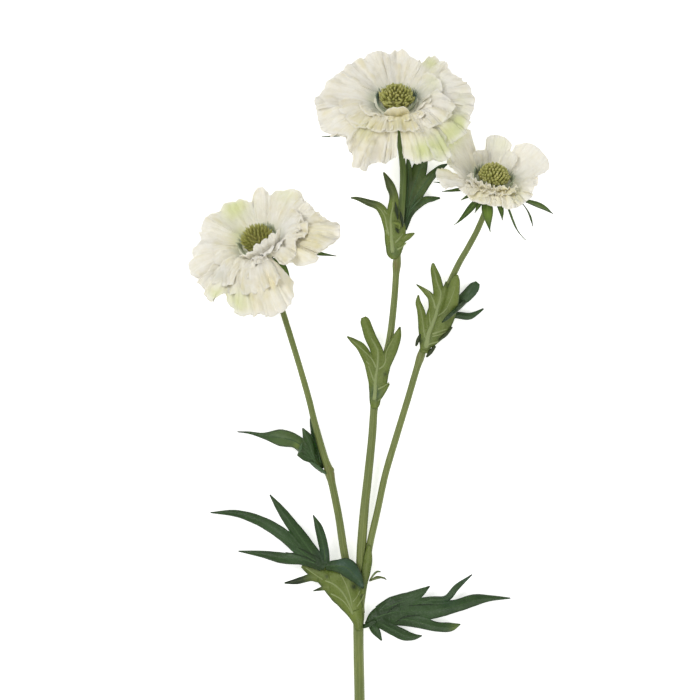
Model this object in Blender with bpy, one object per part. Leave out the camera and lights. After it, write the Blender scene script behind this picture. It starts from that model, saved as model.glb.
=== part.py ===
# Scabiosa spray: one cut stem that forks into three, with three cream blooms and cut leaves.
# It lies on a flat surface. X runs across the spray, Y from the cut end to the top bloom, Z up.
# Sizes and places below are in millimetres, and MM turns them into Blender's metres.
import math
from collections import namedtuple

import bmesh
import bpy
from mathutils import Matrix, Vector
from mathutils.geometry import delaunay_2d_cdt

MM = 0.001

# Blades: petals, bracts and leaves, thicker than life so that they are solid
PETAL_THICKNESS = 0.7
BRACT_THICKNESS = 0.7
LEAF_THICKNESS = 0.8
GAP = 0.3
FLATTEN = 0.8

# Flower head, along its own axis from the cup's foot to the top of the disc
CUP_DEPTH = 9.5
CUP_TOP = -3.8
CUP_SIDES = 10
PLATE_RADIUS = 12.2
PLATE_TOP = -0.1
PLATE_BOTTOM = -3.5
PLATE_SIDES = 14
DISC_RADIUS = 8.6
DISC_HEIGHT = 7.6
DISC_FOOT = PLATE_TOP + GAP
DISC_SIDES = 12
DISC_RINGS = 4
PEG_COUNT = 36
PEG_SPREAD = 72
PEG_LENGTH = 2.6
PEG_SUNK = 0.55
PEG_LIFT = 0.9
PEG_RADIUS = 1.25
PEG_TAPER = 0.6
RING_RADIUS = 9.75
RING_HALF_WIDTH = 0.6
RING_HEIGHT = 1.4
RING_SIDES = 14
AWN_COUNT = 14
AWN_LENGTH = 6.0
AWN_RADIUS = 0.42
AWN_TAPER = 0.35
AWN_LEAN = 1.3

# Petals: they grow from a plate under the disc, in an outer tier and an inner one
ROOT_RADIUS = 11.3
ROOT_HEIGHT = -2.6
INNER_ROOT_HEIGHT = -0.6
OUTER_COLUMNS = 5
INNER_COLUMNS = 4
PETAL_ROWS = 3
CLAW = 0.3
ROUNDING = 0.24
RUFFLE = 1.0
RUFFLE_WAVES = 15
RUFFLE_FULL_REACH = 25
LAP_PER_DEGREE = 0.09
TIER_BLEND = 12
STANDING_REACH = 15

# Bracts: they leave the cup's rim below the petals
BRACT_ROWS = 3
BRACT_ROOT_RADIUS = 7.5
BRACT_ROOT_HEIGHT = -4.9
BRACT_KEEL = 0.25

STEM_ROUNDNESS = 2
JOINT_STRETCH = 1.5
NECK_LENGTH = 4.5
LEAF_STATIONS = 6
LEAF_KEEL = 0.28

Petal = namedtuple("Petal", "azimuth spread reach rise crest")
Bract = namedtuple("Bract", "azimuth reach rise half_width")
Head = namedtuple("Head", "name centre lean tilt petals inner_petals bracts")

# Azimuths are in degrees round the head, 90 being the side that lies on the surface.
# Spread is half the petal's angle, reach its tip's distance from the axis, rise the tip's
# height above the plate, and crest how high the petal arches on its way there.
TOP_HEAD = Head(
    "top_bloom", (12.6, 153.6, 19.6), 0, 45,
    (Petal(102, 20, 32.5, 6, 3), Petal(79, 19, 32.5, 5, 2), Petal(52, 19, 35, 5, 3),
     Petal(24, 19, 36.5, 2, 4), Petal(-3, 18, 38, -2, 4), Petal(-23, 17, 37.5, -5, 5),
     Petal(-41, 16, 36.5, -9, 6), Petal(-64, 18, 34.5, -13, 6), Petal(257, 15, 31, -13, 5),
     Petal(239, 17, 38, -15, 5), Petal(207, 18, 39.5, -3, 3), Petal(181, 18, 40.5, -1, 3),
     Petal(154, 18, 36.5, 2, 3), Petal(127, 18, 33, 5, 3)),
    (Petal(270, 36, 12.6, 8.4, 4), Petal(239, 20, 24.5, -1, 6), Petal(272, 20, 22.5, 0, 6),
     Petal(306, 20, 25, -1, 6), Petal(330, 18, 29, 0, 7), Petal(212, 20, 29, 0, 6),
     Petal(26, 18, 24, 6, 3)),
    (Bract(207, 39, -7.5, 1.6), Bract(250, 20, -9, 2), Bract(290, 20, -9, 2),
     Bract(330, 22, -8, 2), Bract(15, 20, -7, 2), Bract(60, 17, -5.5, 1.9),
     Bract(105, 17, -5.5, 1.9), Bract(150, 19, -6.5, 2)))
LEFT_HEAD = Head(
    "left_bloom", (-58.4, 81.0, 20.4), 28, 48,
    (Petal(104, 18, 33, 6, 3), Petal(82, 15, 28, 6, 2), Petal(64.5, 10, 33, 7.5, 4),
     Petal(40, 19, 33.5, 5, 3), Petal(15, 17, 34, 3, 3), Petal(-8, 17, 35, 1, 4),
     Petal(-25, 14, 42, -4, 4), Petal(-54, 15, 31.5, -5, 4), Petal(-96, 13, 35.5, -13, 5),
     Petal(249, 17, 38.5, -13, 5), Petal(229, 17, 38.5, -11, 5), Petal(205, 17, 39, -6, 4),
     Petal(186, 16, 37, -2, 4), Petal(167, 17, 38, 0, 3), Petal(144, 18, 35, 3, 3),
     Petal(122, 17, 34.5, 5, 3)),
    (Petal(270, 34, 12.6, 8, 4), Petal(262, 22, 20, 2, 6), Petal(296, 16, 27, -1, 6),
     Petal(320, 18, 23, 4, 5), Petal(199, 20, 24, 1, 6), Petal(226, 20, 27.5, -2, 6),
     Petal(345, 18, 26, 5, 4)),
    (Bract(-78, 26, -10, 2.4), Bract(-39.5, 41.5, -10, 1.4), Bract(214.5, 34, -13, 1.5),
     Bract(0, 20, -7, 2), Bract(45, 17, -5.5, 1.9), Bract(95, 17, -5.5, 1.9),
     Bract(140, 19, -6.5, 2), Bract(180, 20, -7, 2)))
SIDE_HEAD = Head(
    "side_bloom", (62.6, 112.9, 14.2), -11.5, 55,
    (Petal(92, 19, 22, 13, 4), Petal(34, 29, 28, 12, 4), Petal(-10, 18, 22, 4, 4),
     Petal(-48, 17, 23.5, 0, 5), Petal(-78, 18, 20, -1, 5), Petal(253, 18, 22, -1, 5),
     Petal(228, 17, 19, 1, 5), Petal(208, 17, 28, 3, 4), Petal(186, 19, 28.5, 9, 5),
     Petal(156, 20, 27, 15, 6), Petal(124, 16, 17, 9, 4), Petal(64, 15, 18, 9, 3)),
    (Petal(280, 30, 12.4, 6, 3), Petal(238, 20, 13.5, 5, 3)),
    (Bract(191, 30.5, -4, 1.5), Bract(199, 26.5, -7, 1.3), Bract(222, 19.5, -7, 1.1),
     Bract(240, 31, -14, 1.9), Bract(252, 20, -9, 1.3), Bract(-81, 26, -14, 2.5),
     Bract(-66, 21, -10, 1.6), Bract(-52, 36, -13, 0.9), Bract(-40, 32, -9, 0.9),
     Bract(-16, 35, -6, 1.9), Bract(30, 17, -5, 1.6), Bract(75, 15.5, -3.6, 1.6),
     Bract(115, 15.5, -3.6, 1.6), Bract(155, 17, -5, 1.6)))
HEADS = (TOP_HEAD, LEFT_HEAD, SIDE_HEAD)

# Stem: points down the middle of each run and its radius there (x, y, z, radius)
MAIN_RUN = ((-6.5, -181.5, 2.7, 2.65), (-6.5, -156.5, 3.2, 2.6), (-7, -130.5, 3.8, 2.6),
            (-7, -112, 4.4, 2.6), (-6, -94, 5, 2.55), (-5.5, -77, 5.5, 2.4),
            (-4, -57.5, 6, 2.25), (-2, -39, 6.5, 2.1), (0, -19.5, 6.9, 2),
            (1.5, -0.5, 7.2, 1.9), (5, 15, 7.5, 1.8), (9, 30.5, 7.8, 1.75),
            (11.5, 51.5, 8.2, 1.65), (13, 73, 8.4, 1.6), (15, 95, 8.3, 1.65),
            (16, 111, 8, 1.65), (15.8, 122, 7.7, 1.6), (14.5, 132, 7.6, 1.5))
LEFT_RUN = ((-7, -108.5, 4.6, 1.9), (-10.5, -94, 5.6, 1.95), (-14, -82, 6, 2),
            (-17.5, -60, 6.4, 1.9), (-21.5, -39, 6.8, 1.85), (-26.5, -19.5, 7.3, 1.7),
            (-32, -0.5, 7.7, 1.55), (-37, 15, 8, 1.5), (-42, 31.5, 8.2, 1.45),
            (-46.5, 46, 8.4, 1.45), (-50.5, 59, 8.8, 1.45))
RIGHT_RUN = ((-6.5, -110.5, 4.4, 1.9), (-4, -94, 5.2, 1.8), (-1.5, -77, 5.6, 1.75),
             (2.9, -57.5, 5.8, 1.7), (6.9, -39, 6, 1.7), (12.6, -19.5, 6.1, 1.7),
             (18.4, -0.5, 6.2, 1.65), (25, 21.5, 6.3, 1.65), (33.7, 45, 6.2, 1.6),
             (43.6, 67.5, 6, 1.55), (50, 79, 5.8, 1.5), (55, 88.5, 5.5, 1.45))
# Swollen joints where leaves sit (x, y, z, radius)
STEM_JOINTS = ((-7, -112, 4.4, 3.0), (-21.8, -38, 6.8, 2.5), (2, 0, 7.2, 2.4),
               (12.7, 70, 8.4, 2.2), (25, 22, 6.3, 2.1))

# Leaves: each lobe is a line of points from its base to its tip (x, y, z, half width).
LEAVES = {
    "base_left_leaf": (
        ((-24, -86.5, 11.4, 2.6), (-34.5, -80.5, 12, 3.4), (-44.5, -71.5, 11, 3.4),
         (-56.5, -64, 8, 2.8), (-70, -59.5, 4, 1.9), (-84, -59, 1.5, 0.3)),
        ((-27, -85, 12, 3.6), (-35.5, -73.5, 13, 3.6), (-42, -64.5, 13, 2.9),
         (-47.5, -57, 11, 2.1), (-53, -49.5, 9, 0.3)),
        ((-24, -86.5, 11.4, 2.3), (-25, -77, 13, 2.5), (-27.5, -67, 13, 2.1),
         (-30.5, -60, 12, 0.3)),
        ((-26, -86.5, 12, 2.6), (-35.5, -83, 11, 3.1), (-46, -82.5, 8, 2.9),
         (-57, -80.5, 5, 1.8), (-69.5, -79, 2, 0.3)),
        ((-24, -86.5, 11.4, 2.1), (-18, -85.5, 13, 2.3), (-12.5, -87, 13.8, 4.2),
         (-8, -92.5, 13, 3.1), (-4.5, -98, 12, 0.4))),
    "base_left_sheath": (
        ((-7.5, -115.5, 9.2, 3.1), (-10, -108.5, 9.6, 4.7), (-16, -99.5, 9.6, 6.8),
         (-24, -92, 10, 5.2), (-32, -88.5, 9.5, 2.9), (-36.5, -86.5, 9, 0.8)),
        ((-8.5, -109.5, 9.6, 4.2), (-12.5, -99, 10, 6.8), (-11.5, -91, 10, 4.7),
         (-10.5, -86.5, 10, 1)),
        ((-28, -92.5, 9.5, 2.6), (-32, -92.5, 9, 2), (-39, -94.5, 7.5, 1.6),
         (-45.5, -95.5, 6, 0.4)),
        ((-22, -97.5, 9.5, 2.1), (-25, -98, 8.5, 1.3), (-30.5, -99.5, 7, 0.3))),
    "base_right_leaf": (
        ((-3.2, -117, 4.6, 1), (3, -113, 6, 4.7), (14.5, -110, 8, 6.8), (30, -109.5, 8, 4.9),
         (43, -107.5, 6, 3.4), (53, -104.5, 4, 3.1), (61.5, -103.5, 2.5, 1.6),
         (72, -103.5, 1.5, 0.3)),
        ((14.5, -108.5, 8, 4.2), (30, -104.5, 8, 2.1), (38.5, -103.5, 8, 1.8),
         (44, -97.5, 7, 1.6), (52, -91, 6, 0.3)),
        ((3, -110.5, 6, 3.1), (10.5, -107, 8, 4.4), (19.5, -103.5, 8.5, 3.6),
         (25, -100.5, 8, 2.3), (30, -97, 7, 0.3)),
        ((9.5, -113.5, 7, 3.6), (22.5, -115, 7, 3.6), (32.5, -118, 5, 2.6),
         (40.5, -118.5, 3, 2.4), (46, -117, 2, 0.3)),
        ((2, -115, 6, 2.6), (9.5, -119, 5.5, 2.9), (16.5, -122.5, 4, 2.9),
         (21.5, -123.5, 3, 1.8), (26, -123, 2, 0.3)),
        ((-1, -116, 5, 1.8), (2, -120.5, 4, 2.2), (5, -125.5, 2.5, 0.4))),
    "left_branch_leaf": (
        ((-25.5, -37.9, 7, 0.8), (-28.3, -34.5, 8, 1.9), (-33, -27.5, 10, 3.6),
         (-39.5, -22, 10, 3.6), (-47.5, -20, 8.5, 4.4), (-56.5, -19, 5, 1.6),
         (-63.5, -17.5, 3, 0.7), (-70, -17, 1.5, 0.3)),
        ((-29, -33.5, 8, 2.1), (-31.5, -26.5, 10.5, 3.4), (-33, -21, 11, 2.9),
         (-36, -15, 10, 0.4)),
        ((-27, -34.5, 8, 1.4), (-28.2, -29, 9.5, 2), (-29.8, -21, 10.5, 1.5),
         (-31.5, -15, 11, 1), (-32.5, -10, 11.5, 0.4)),
        ((-30, -31.5, 8, 2.1), (-34.5, -29.5, 8, 2.6), (-38.5, -28, 7.5, 1.3))),
    "centre_lower_leaf": (
        ((2, -3.5, 10.2, 2.1), (2, 3.5, 10.6, 3.1), (3, 14, 11.4, 4.9), (2.5, 24.5, 12.4, 3.4),
         (-1, 32.5, 13, 3), (-3.5, 40, 13, 2.6), (-4.5, 42.5, 13, 1.3)),
        ((2.5, 7.5, 11, 3.1), (-0.5, 17, 11.5, 2.9), (-5, 26, 10.5, 2.5), (-9.5, 30, 9, 1.5),
         (-13, 32.5, 8, 0.4)),
        ((4, 7.5, 11, 3.6), (6.5, 17, 12, 3.1), (10.5, 26.5, 12.8, 3), (13, 32.5, 12.5, 2.1),
         (14.5, 37.5, 12, 0.4)),
        ((1.5, 3.5, 10.6, 2.1), (-1, 12, 10.5, 1.6), (-4, 20, 9.5, 0.4)),
        ((2.5, 0.5, 10.4, 2.1), (5.5, 4, 10.4, 1.6), (9, 8, 10, 0.4))),
    "centre_upper_leaf": (
        ((12.5, 73.5, 11.4, 2.6), (12, 80, 11.4, 4.4), (11.5, 88.5, 11.6, 5.2),
         (10.5, 97, 12, 3.1), (10, 105, 13, 2.9), (8, 111.5, 13.5, 2.1), (6, 117, 13.5, 0.4)),
        ((10, 82.5, 11.2, 2.6), (7.5, 93, 11, 2.6), (4, 99.5, 9.8, 2.2), (-2, 102, 8, 1.7),
         (-7.5, 104, 6.5, 1), (-11, 104.5, 5.5, 0.4)),
        ((13.5, 78.5, 11.4, 2.6), (15.5, 82.5, 11.4, 2.1), (19, 84.5, 10.6, 1.5),
         (22, 86, 9.6, 0.4)),
        ((13.5, 82.5, 11.4, 3.1), (15, 88.5, 11.8, 2.6), (14, 94, 12.4, 1))),
    "centre_upper_back_leaf": (
        ((16.5, 88, 5.6, 1.3), (19.5, 103, 5.6, 3.1), (23.5, 115.5, 6, 4.2),
         (26, 124, 6.5, 3.1), (27, 129, 6.5, 1.6)),
        ((16.5, 88, 5.6, 1.6), (20, 99, 5.4, 2.6), (25, 108.5, 5.4, 3.1),
         (30.5, 115.5, 5.4, 2.3), (35.5, 120, 5.4, 1.6), (39, 122, 5.4, 0.4)),
        ((16.5, 90, 5.6, 1.6), (20.5, 98, 5, 2.3), (27, 103, 4, 2), (31.5, 104, 3.2, 1.4),
         (35.5, 104.5, 2.4, 0.4)),
        ((17.5, 95.5, 5.4, 1.8), (18.5, 108.5, 5.2, 2.1), (19, 119, 5, 1.8),
         (18.5, 125.5, 5, 0.5)),
        ((19.5, 98, 5.2, 2.1), (23.5, 104.5, 5, 2.1), (27.5, 110, 5, 0.4))),
    "right_branch_leaf": (
        ((27, 24, 9.2, 2.3), (29, 32.5, 9.4, 3.6), (32, 43.5, 10.2, 3.9),
         (34.5, 53.5, 11.5, 3), (33.5, 61.5, 12.5, 2.6), (32, 67, 12.5, 1.8),
         (31.5, 70.5, 12.5, 0.6)),
        ((30, 36, 9.6, 3.1), (32, 45, 10, 3.1), (31, 52, 10, 2.1), (27.5, 56, 9, 1.3),
         (23, 59.5, 8, 0.3)),
        ((27, 25.5, 9.2, 2.1), (27, 35, 9.2, 2.9), (25.5, 45, 9.2, 2.1), (24, 50, 8.6, 1.5),
         (24, 54, 8, 0.4)),
        ((29, 28, 9.3, 2.6), (35, 37, 9.6, 5.2), (40.5, 47, 9.8, 3.1), (43.5, 55.5, 10, 2.1),
         (44, 63.5, 10.2, 0.5)),
        ((32, 41, 10, 2.6), (35.5, 50, 10.8, 2.6), (37.5, 56, 11.3, 1.6),
         (38.5, 61, 11.5, 0.4))),
    "right_branch_back_leaf": (
        ((34, 38.5, 3.6, 1.6), (39, 43, 3.8, 2.3), (44.5, 49.5, 4, 2.6), (49.5, 54, 3.8, 3.1),
         (53, 58, 3.4, 2.9), (55, 60.5, 3, 1.3)),
        ((36.5, 40, 3.6, 1.6), (42.5, 43.5, 3.4, 1.7), (50, 43, 2.8, 1.9), (54, 44.5, 2.2, 1.2),
         (58, 47, 1.6, 0.4))),
    "fork_leaflet": (
        ((-1.3, -94.3, 5.5, 0.4), (2, -93, 7, 0.6), (5, -92.5, 8, 0.5), (7.5, -93.5, 8.5, 0.3)),
        ((-1.3, -94.3, 5.5, 0.4), (0.5, -91.5, 7.5, 0.5), (2.5, -89.5, 9, 0.5),
         (4.5, -89.5, 9.5, 0.3))),
}
DARK_LEAVES = ("base_left_leaf", "base_right_leaf", "left_branch_leaf",
               "centre_upper_back_leaf", "right_branch_back_leaf")


def clear_scene():
    for old in list(bpy.data.objects):
        bpy.data.objects.remove(old)


def material(name, colour, roughness):
    made = bpy.data.materials.new(name)
    made.use_nodes = True
    shader = made.node_tree.nodes["Principled BSDF"]
    shader.inputs["Base Color"].default_value = (*colour, 1)
    shader.inputs["Roughness"].default_value = roughness
    shader.inputs["Metallic"].default_value = 0
    return made


def mesh_object(name, bm, finish=None):
    # a closed mesh in millimetres becomes an object in metres
    bmesh.ops.scale(bm, vec=Vector((MM, MM, MM)), verts=bm.verts)
    bmesh.ops.recalc_face_normals(bm, faces=bm.faces)
    mesh = bpy.data.meshes.new(name)
    bm.to_mesh(mesh)
    bm.free()
    made = bpy.data.objects.new(name, mesh)
    bpy.context.scene.collection.objects.link(made)
    if finish:
        mesh.materials.append(finish)
    return made


def evaluated_mesh(source):
    graph = bpy.context.evaluated_depsgraph_get()
    return bpy.data.meshes.new_from_object(source.evaluated_get(graph))


def fuse(name, core, parts, finish, solver="MANIFOLD"):
    # one union joins the repeats to the core that they grow from, and their objects then go
    group = bpy.data.collections.new(name + "_parts")
    bpy.context.scene.collection.children.link(group)
    for part in parts:
        bpy.context.scene.collection.objects.unlink(part)
        group.objects.link(part)
    union = core.modifiers.new("union", "BOOLEAN")
    union.operation = "UNION"
    union.operand_type = "COLLECTION"
    union.collection = group
    union.solver = solver
    whole = evaluated_mesh(core)
    core.modifiers.remove(union)
    core.data = whole
    core.name = name
    whole.name = name
    whole.materials.clear()
    whole.materials.append(finish)
    for part in list(group.objects):
        bpy.data.objects.remove(part)
    bpy.data.collections.remove(group)
    return core


def lifted(point, thickness):
    # a blade that would reach below the surface flattens onto it instead
    lowest = thickness / 2 + 0.05
    above = point.z - lowest
    point.z = lowest + (above + math.sqrt(above ** 2 + FLATTEN ** 2)) / 2
    return point


def settle(mesh):
    # nothing reaches below the surface that the spray lies on
    for vertex in mesh.vertices:
        vertex.co.z = max(vertex.co.z, 0)


def spline_point(points, t):
    # a smooth curve through the given points, t from 0 to 1
    last = len(points) - 1
    place = min(t, 1) * last
    i = min(int(place), last - 1)
    f = place - i
    p1 = Vector(points[i])
    p2 = Vector(points[i + 1])
    p0 = Vector(points[i - 1]) if i else 2 * p1 - p2
    p3 = Vector(points[i + 2]) if i + 2 <= last else 2 * p2 - p1
    return 0.5 * (2 * p1 + (p2 - p0) * f + (2 * p0 - 5 * p1 + 4 * p2 - p3) * f ** 2
                  + (3 * p1 - p0 - 3 * p2 + p3) * f ** 3)


def bend(start, middle, end, t):
    return start * (1 - t) ** 2 + middle * 2 * t * (1 - t) + end * t ** 2


def head_frame(head):
    # the head's own axes: X across, Y towards the side that lies down, Z out of the face
    lean = Matrix.Rotation(math.radians(head.lean), 4, "Z")
    tilt = Matrix.Rotation(-math.radians(head.tilt), 4, "X")
    return Matrix.Translation(head.centre) @ lean @ tilt


def turned(name, profile, sides):
    # a solid turned round the head's axis from (radius, height) points, both ends on the axis
    bm = bmesh.new()
    rings = []
    for radius, height in profile[1:-1]:
        rings.append([bm.verts.new((radius * math.cos(math.tau * k / sides),
                                    radius * math.sin(math.tau * k / sides), height))
                      for k in range(sides)])
    first = bm.verts.new((0, 0, profile[0][1]))
    last = bm.verts.new((0, 0, profile[-1][1]))
    for lower, upper in zip(rings, rings[1:]):
        for k in range(sides):
            j = (k + 1) % sides
            bm.faces.new((lower[k], lower[j], upper[j], upper[k]))
    for k in range(sides):
        j = (k + 1) % sides
        bm.faces.new((first, rings[0][j], rings[0][k]))
        bm.faces.new((last, rings[-1][k], rings[-1][j]))
    return mesh_object(name, bm)


def strip(bm, a, b):
    # triangles between two rows, which may hold different numbers of points
    i = 0
    j = 0
    while i < len(a) - 1 or j < len(b) - 1:
        a_is_behind = (i + 1) * (len(b) - 1) <= (j + 1) * (len(a) - 1)
        if j == len(b) - 1 or (i < len(a) - 1 and a_is_behind):
            bm.faces.new((a[i], a[i + 1], b[j]))
            i += 1
        else:
            bm.faces.new((a[i], b[j + 1], b[j]))
            j += 1


def sheet_solid(name, points, thickness):
    # rows of points become a blade; both of its faces are split into the same triangles
    bm = bmesh.new()
    rows = [[bm.verts.new(p) for p in row] for row in points]
    for a, b in zip(rows, rows[1:]):
        strip(bm, a, b)
    bmesh.ops.recalc_face_normals(bm, faces=bm.faces)
    bm.normal_update()
    push = {v: v.normal * thickness / 2 for v in bm.verts}
    twin = {v: bm.verts.new(v.co - push[v]) for v in list(bm.verts)}
    rim = [(e.link_loops[0].vert, e.link_loops[0].link_loop_next.vert)
           for e in bm.edges if e.is_boundary]
    for face in list(bm.faces):
        bm.faces.new([twin[v] for v in reversed(face.verts)])
    for start, end in rim:
        bm.faces.new((end, start, twin[start]))
        bm.faces.new((end, twin[start], twin[end]))
    for vertex, move in push.items():
        vertex.co += move
    return mesh_object(name, bm)


def tier_shape(tier, azimuth):
    # reach, rise and crest of a whole tier of petals at one azimuth, so that neighbours
    # lie on one waved sheet and overlap without crossing
    total = Vector((0, 0, 0))
    weight = 0
    for petal in tier:
        away = (azimuth - petal.azimuth + 180) % 360 - 180
        share = math.exp(-(away / TIER_BLEND) ** 2)
        total += share * Vector((petal.reach, petal.rise, petal.crest))
        weight += share
    return total / weight


def petal_point(tier, petal, root_height, along, across):
    # a point of the petal's middle surface, in the head's own axes
    t = along * (1 - ROUNDING * abs(across) ** 3)
    radius = ROOT_RADIUS + (petal.reach - ROOT_RADIUS) * t
    offset = across * petal.spread
    azimuth = petal.azimuth + offset
    angle = math.radians(azimuth)
    reach, rise, crest = tier_shape(tier, azimuth)
    if petal.reach < STANDING_REACH:
        reach, rise, crest = petal.reach, petal.rise, petal.crest
    share = min(1, (radius - ROOT_RADIUS) / (reach - ROOT_RADIUS))
    height = bend(root_height, crest, rise, share)
    wave = RUFFLE * math.sin(RUFFLE_WAVES * angle)
    height += wave * share ** 2 * min(1, reach / RUFFLE_FULL_REACH)
    height += LAP_PER_DEGREE * offset * (0.7 + 0.3 * share)
    return Vector((radius * math.cos(angle), radius * math.sin(angle), height))


def petal_solid(head, tier, petal, root_height, columns):
    # a narrow claw at the root, then rows as wide as the petal
    frame = head_frame(head)
    across = [2 * i / columns - 1 for i in range(columns + 1)]
    points = []
    for j in range(PETAL_ROWS + 1):
        row = []
        for v in across if j else (-CLAW, CLAW):
            place = petal_point(tier, petal, root_height, j / PETAL_ROWS, v)
            row.append(lifted(frame @ place, PETAL_THICKNESS))
        points.append(row)
    return sheet_solid("petal", points, PETAL_THICKNESS)


def petals(head, finish):
    plate = turned("plate", ((0, PLATE_BOTTOM), (PLATE_RADIUS, PLATE_BOTTOM),
                             (PLATE_RADIUS, PLATE_TOP), (0, PLATE_TOP)), PLATE_SIDES)
    plate.data.transform(metre_frame(head))
    outer = head.petals
    inner = head.inner_petals
    blades = [petal_solid(head, outer, petal, ROOT_HEIGHT, OUTER_COLUMNS) for petal in outer]
    blades += [petal_solid(head, inner, petal, INNER_ROOT_HEIGHT, INNER_COLUMNS)
               for petal in inner]
    whole = fuse(head.name + "_petals", plate, blades, finish)
    settle(whole.data)
    return whole


def metre_frame(head):
    frame = head_frame(head)
    frame.translation = frame.translation * MM
    return frame


def spike(name, foot, outward, length, radius, taper, sides):
    # a tapered prism that stands on its foot and points outward
    bm = bmesh.new()
    bmesh.ops.create_cone(bm, cap_ends=True, segments=sides, radius1=radius,
                          radius2=radius * taper, depth=length)
    turn = Vector((0, 0, 1)).rotation_difference(outward).to_matrix().to_4x4()
    bmesh.ops.transform(bm, matrix=Matrix.Translation(foot + outward * length / 2) @ turn,
                        verts=bm.verts)
    return mesh_object(name, bm)


def disc(head, finish):
    # a flattened half ball with a spiral of blunt pegs standing out of it
    profile = [(0, 0), (DISC_RADIUS, 0)]
    for k in range(1, DISC_RINGS):
        up = math.pi / 2 * k / DISC_RINGS
        profile.append((DISC_RADIUS * math.cos(up), DISC_HEIGHT * math.sin(up)))
    profile.append((0, DISC_HEIGHT))
    core = turned("core", [(r, h + DISC_FOOT) for r, h in profile], DISC_SIDES)
    pegs = []
    golden = math.pi * (3 - math.sqrt(5))
    for k in range(PEG_COUNT):
        polar = math.radians(PEG_SPREAD) * math.sqrt((k + 0.6) / PEG_COUNT)
        outward = Vector((math.sin(polar) * math.cos(k * golden),
                          math.sin(polar) * math.sin(k * golden), math.cos(polar)))
        seat = Vector((outward.x * DISC_RADIUS, outward.y * DISC_RADIUS,
                       outward.z * DISC_HEIGHT + DISC_FOOT + PEG_LIFT))
        foot = seat - outward * PEG_LENGTH * PEG_SUNK
        pegs.append(spike("peg", foot, outward, PEG_LENGTH, PEG_RADIUS, PEG_TAPER, 4))
    whole = fuse(head.name + "_disc", core, pegs, finish)
    whole.data.transform(metre_frame(head))
    return whole


def awn_ring(head, finish):
    # a low collar round the disc with a ring of stiff awns
    bm = bmesh.new()
    low = DISC_FOOT
    high = low + RING_HEIGHT
    near = RING_RADIUS - RING_HALF_WIDTH
    far = RING_RADIUS + RING_HALF_WIDTH
    loops = []
    for radius, height in ((near, low), (far, low), (far, high), (near, high)):
        loops.append([bm.verts.new((radius * math.cos(math.tau * k / RING_SIDES),
                                    radius * math.sin(math.tau * k / RING_SIDES), height))
                      for k in range(RING_SIDES)])
    for a, b in zip(loops, loops[1:] + loops[:1]):
        for k in range(RING_SIDES):
            j = (k + 1) % RING_SIDES
            bm.faces.new((a[k], a[j], b[j], b[k]))
    ring = mesh_object("ring", bm)
    awns = []
    for k in range(AWN_COUNT):
        angle = math.tau * (k + 0.5) / AWN_COUNT
        side = Vector((math.cos(angle), math.sin(angle), 0))
        foot = side * RING_RADIUS + Vector((0, 0, low + RING_HEIGHT * 0.4))
        tip = side * (RING_RADIUS + AWN_LEAN) + Vector((0, 0, low + AWN_LENGTH))
        reach = tip - foot
        awns.append(spike("awn", foot, reach.normalized(), reach.length,
                          AWN_RADIUS, AWN_TAPER, 3))
    whole = fuse(head.name + "_awns", ring, awns, finish)
    whole.data.transform(metre_frame(head))
    return whole


def bract_solid(head, bract):
    # a narrow pointed leaflet under the petals, its edges a little higher than its middle
    frame = head_frame(head)
    angle = math.radians(bract.azimuth)
    out = Vector((math.cos(angle), math.sin(angle), 0))
    side = Vector((-math.sin(angle), math.cos(angle), 0))
    points = []
    for j in range(BRACT_ROWS + 1):
        t = j / BRACT_ROWS
        radius = bend(BRACT_ROOT_RADIUS, (9 + bract.reach) / 2, bract.reach, t)
        height = bend(BRACT_ROOT_HEIGHT, min(-5.4, bract.rise * 0.6), bract.rise, t)
        half = bract.half_width * (0.35 + 2.2 * t - 2.25 * t * t) if t < 1 else 0.25
        row = []
        for v in (-1, 0, 1):
            place = out * radius + side * half * v
            place.z = height + BRACT_KEEL * half * abs(v)
            row.append(lifted(frame @ place, BRACT_THICKNESS))
        points.append(row)
    return sheet_solid("bract", points, BRACT_THICKNESS)


def calyx(head, finish):
    # the green cup that the head stands in, with its bracts
    cup = turned("cup", ((0, -CUP_DEPTH), (2.2, -CUP_DEPTH), (3, -8.2), (7, -5.9), (10.4, -4.8),
                         (10.8, CUP_TOP), (0, CUP_TOP)), CUP_SIDES)
    cup.data.transform(metre_frame(head))
    blades = [bract_solid(head, bract) for bract in head.bracts]
    whole = fuse(head.name + "_calyx", cup, blades, finish)
    settle(whole.data)
    return whole


def tube(name, points):
    # a round run of stem through the points, as thick as each point says
    curve = bpy.data.curves.new(name, "CURVE")
    curve.dimensions = "3D"
    curve.bevel_depth = MM
    curve.bevel_resolution = STEM_ROUNDNESS
    curve.use_fill_caps = True
    line = curve.splines.new("POLY")
    line.points.add(len(points) - 1)
    for point, (x, y, z, radius) in zip(line.points, points):
        point.co = (x * MM, y * MM, z * MM, 1)
        point.radius = radius
    guide = bpy.data.objects.new(name, curve)
    bpy.context.scene.collection.objects.link(guide)
    bpy.context.view_layer.update()
    mesh = evaluated_mesh(guide)
    bpy.data.objects.remove(guide)
    bm = bmesh.new()
    bm.from_mesh(mesh)
    bmesh.ops.remove_doubles(bm, verts=bm.verts, dist=0.00001)
    bmesh.ops.scale(bm, vec=Vector((1 / MM,) * 3), verts=bm.verts)
    return mesh_object(name, bm)


def joint(x, y, z, radius):
    bm = bmesh.new()
    bmesh.ops.create_icosphere(bm, subdivisions=1, radius=radius)
    bmesh.ops.scale(bm, vec=Vector((1, JOINT_STRETCH, 1)), verts=bm.verts)
    bmesh.ops.translate(bm, vec=Vector((x, y, z)), verts=bm.verts)
    return mesh_object("joint", bm)


def neck_points(head, radius):
    # the stem turns into the head's axis just under its cup
    frame = head_frame(head)
    end = -CUP_DEPTH - GAP
    return tuple((*(frame @ Vector((0, 0, height))), radius)
                 for height in (end - NECK_LENGTH, end))


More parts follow.
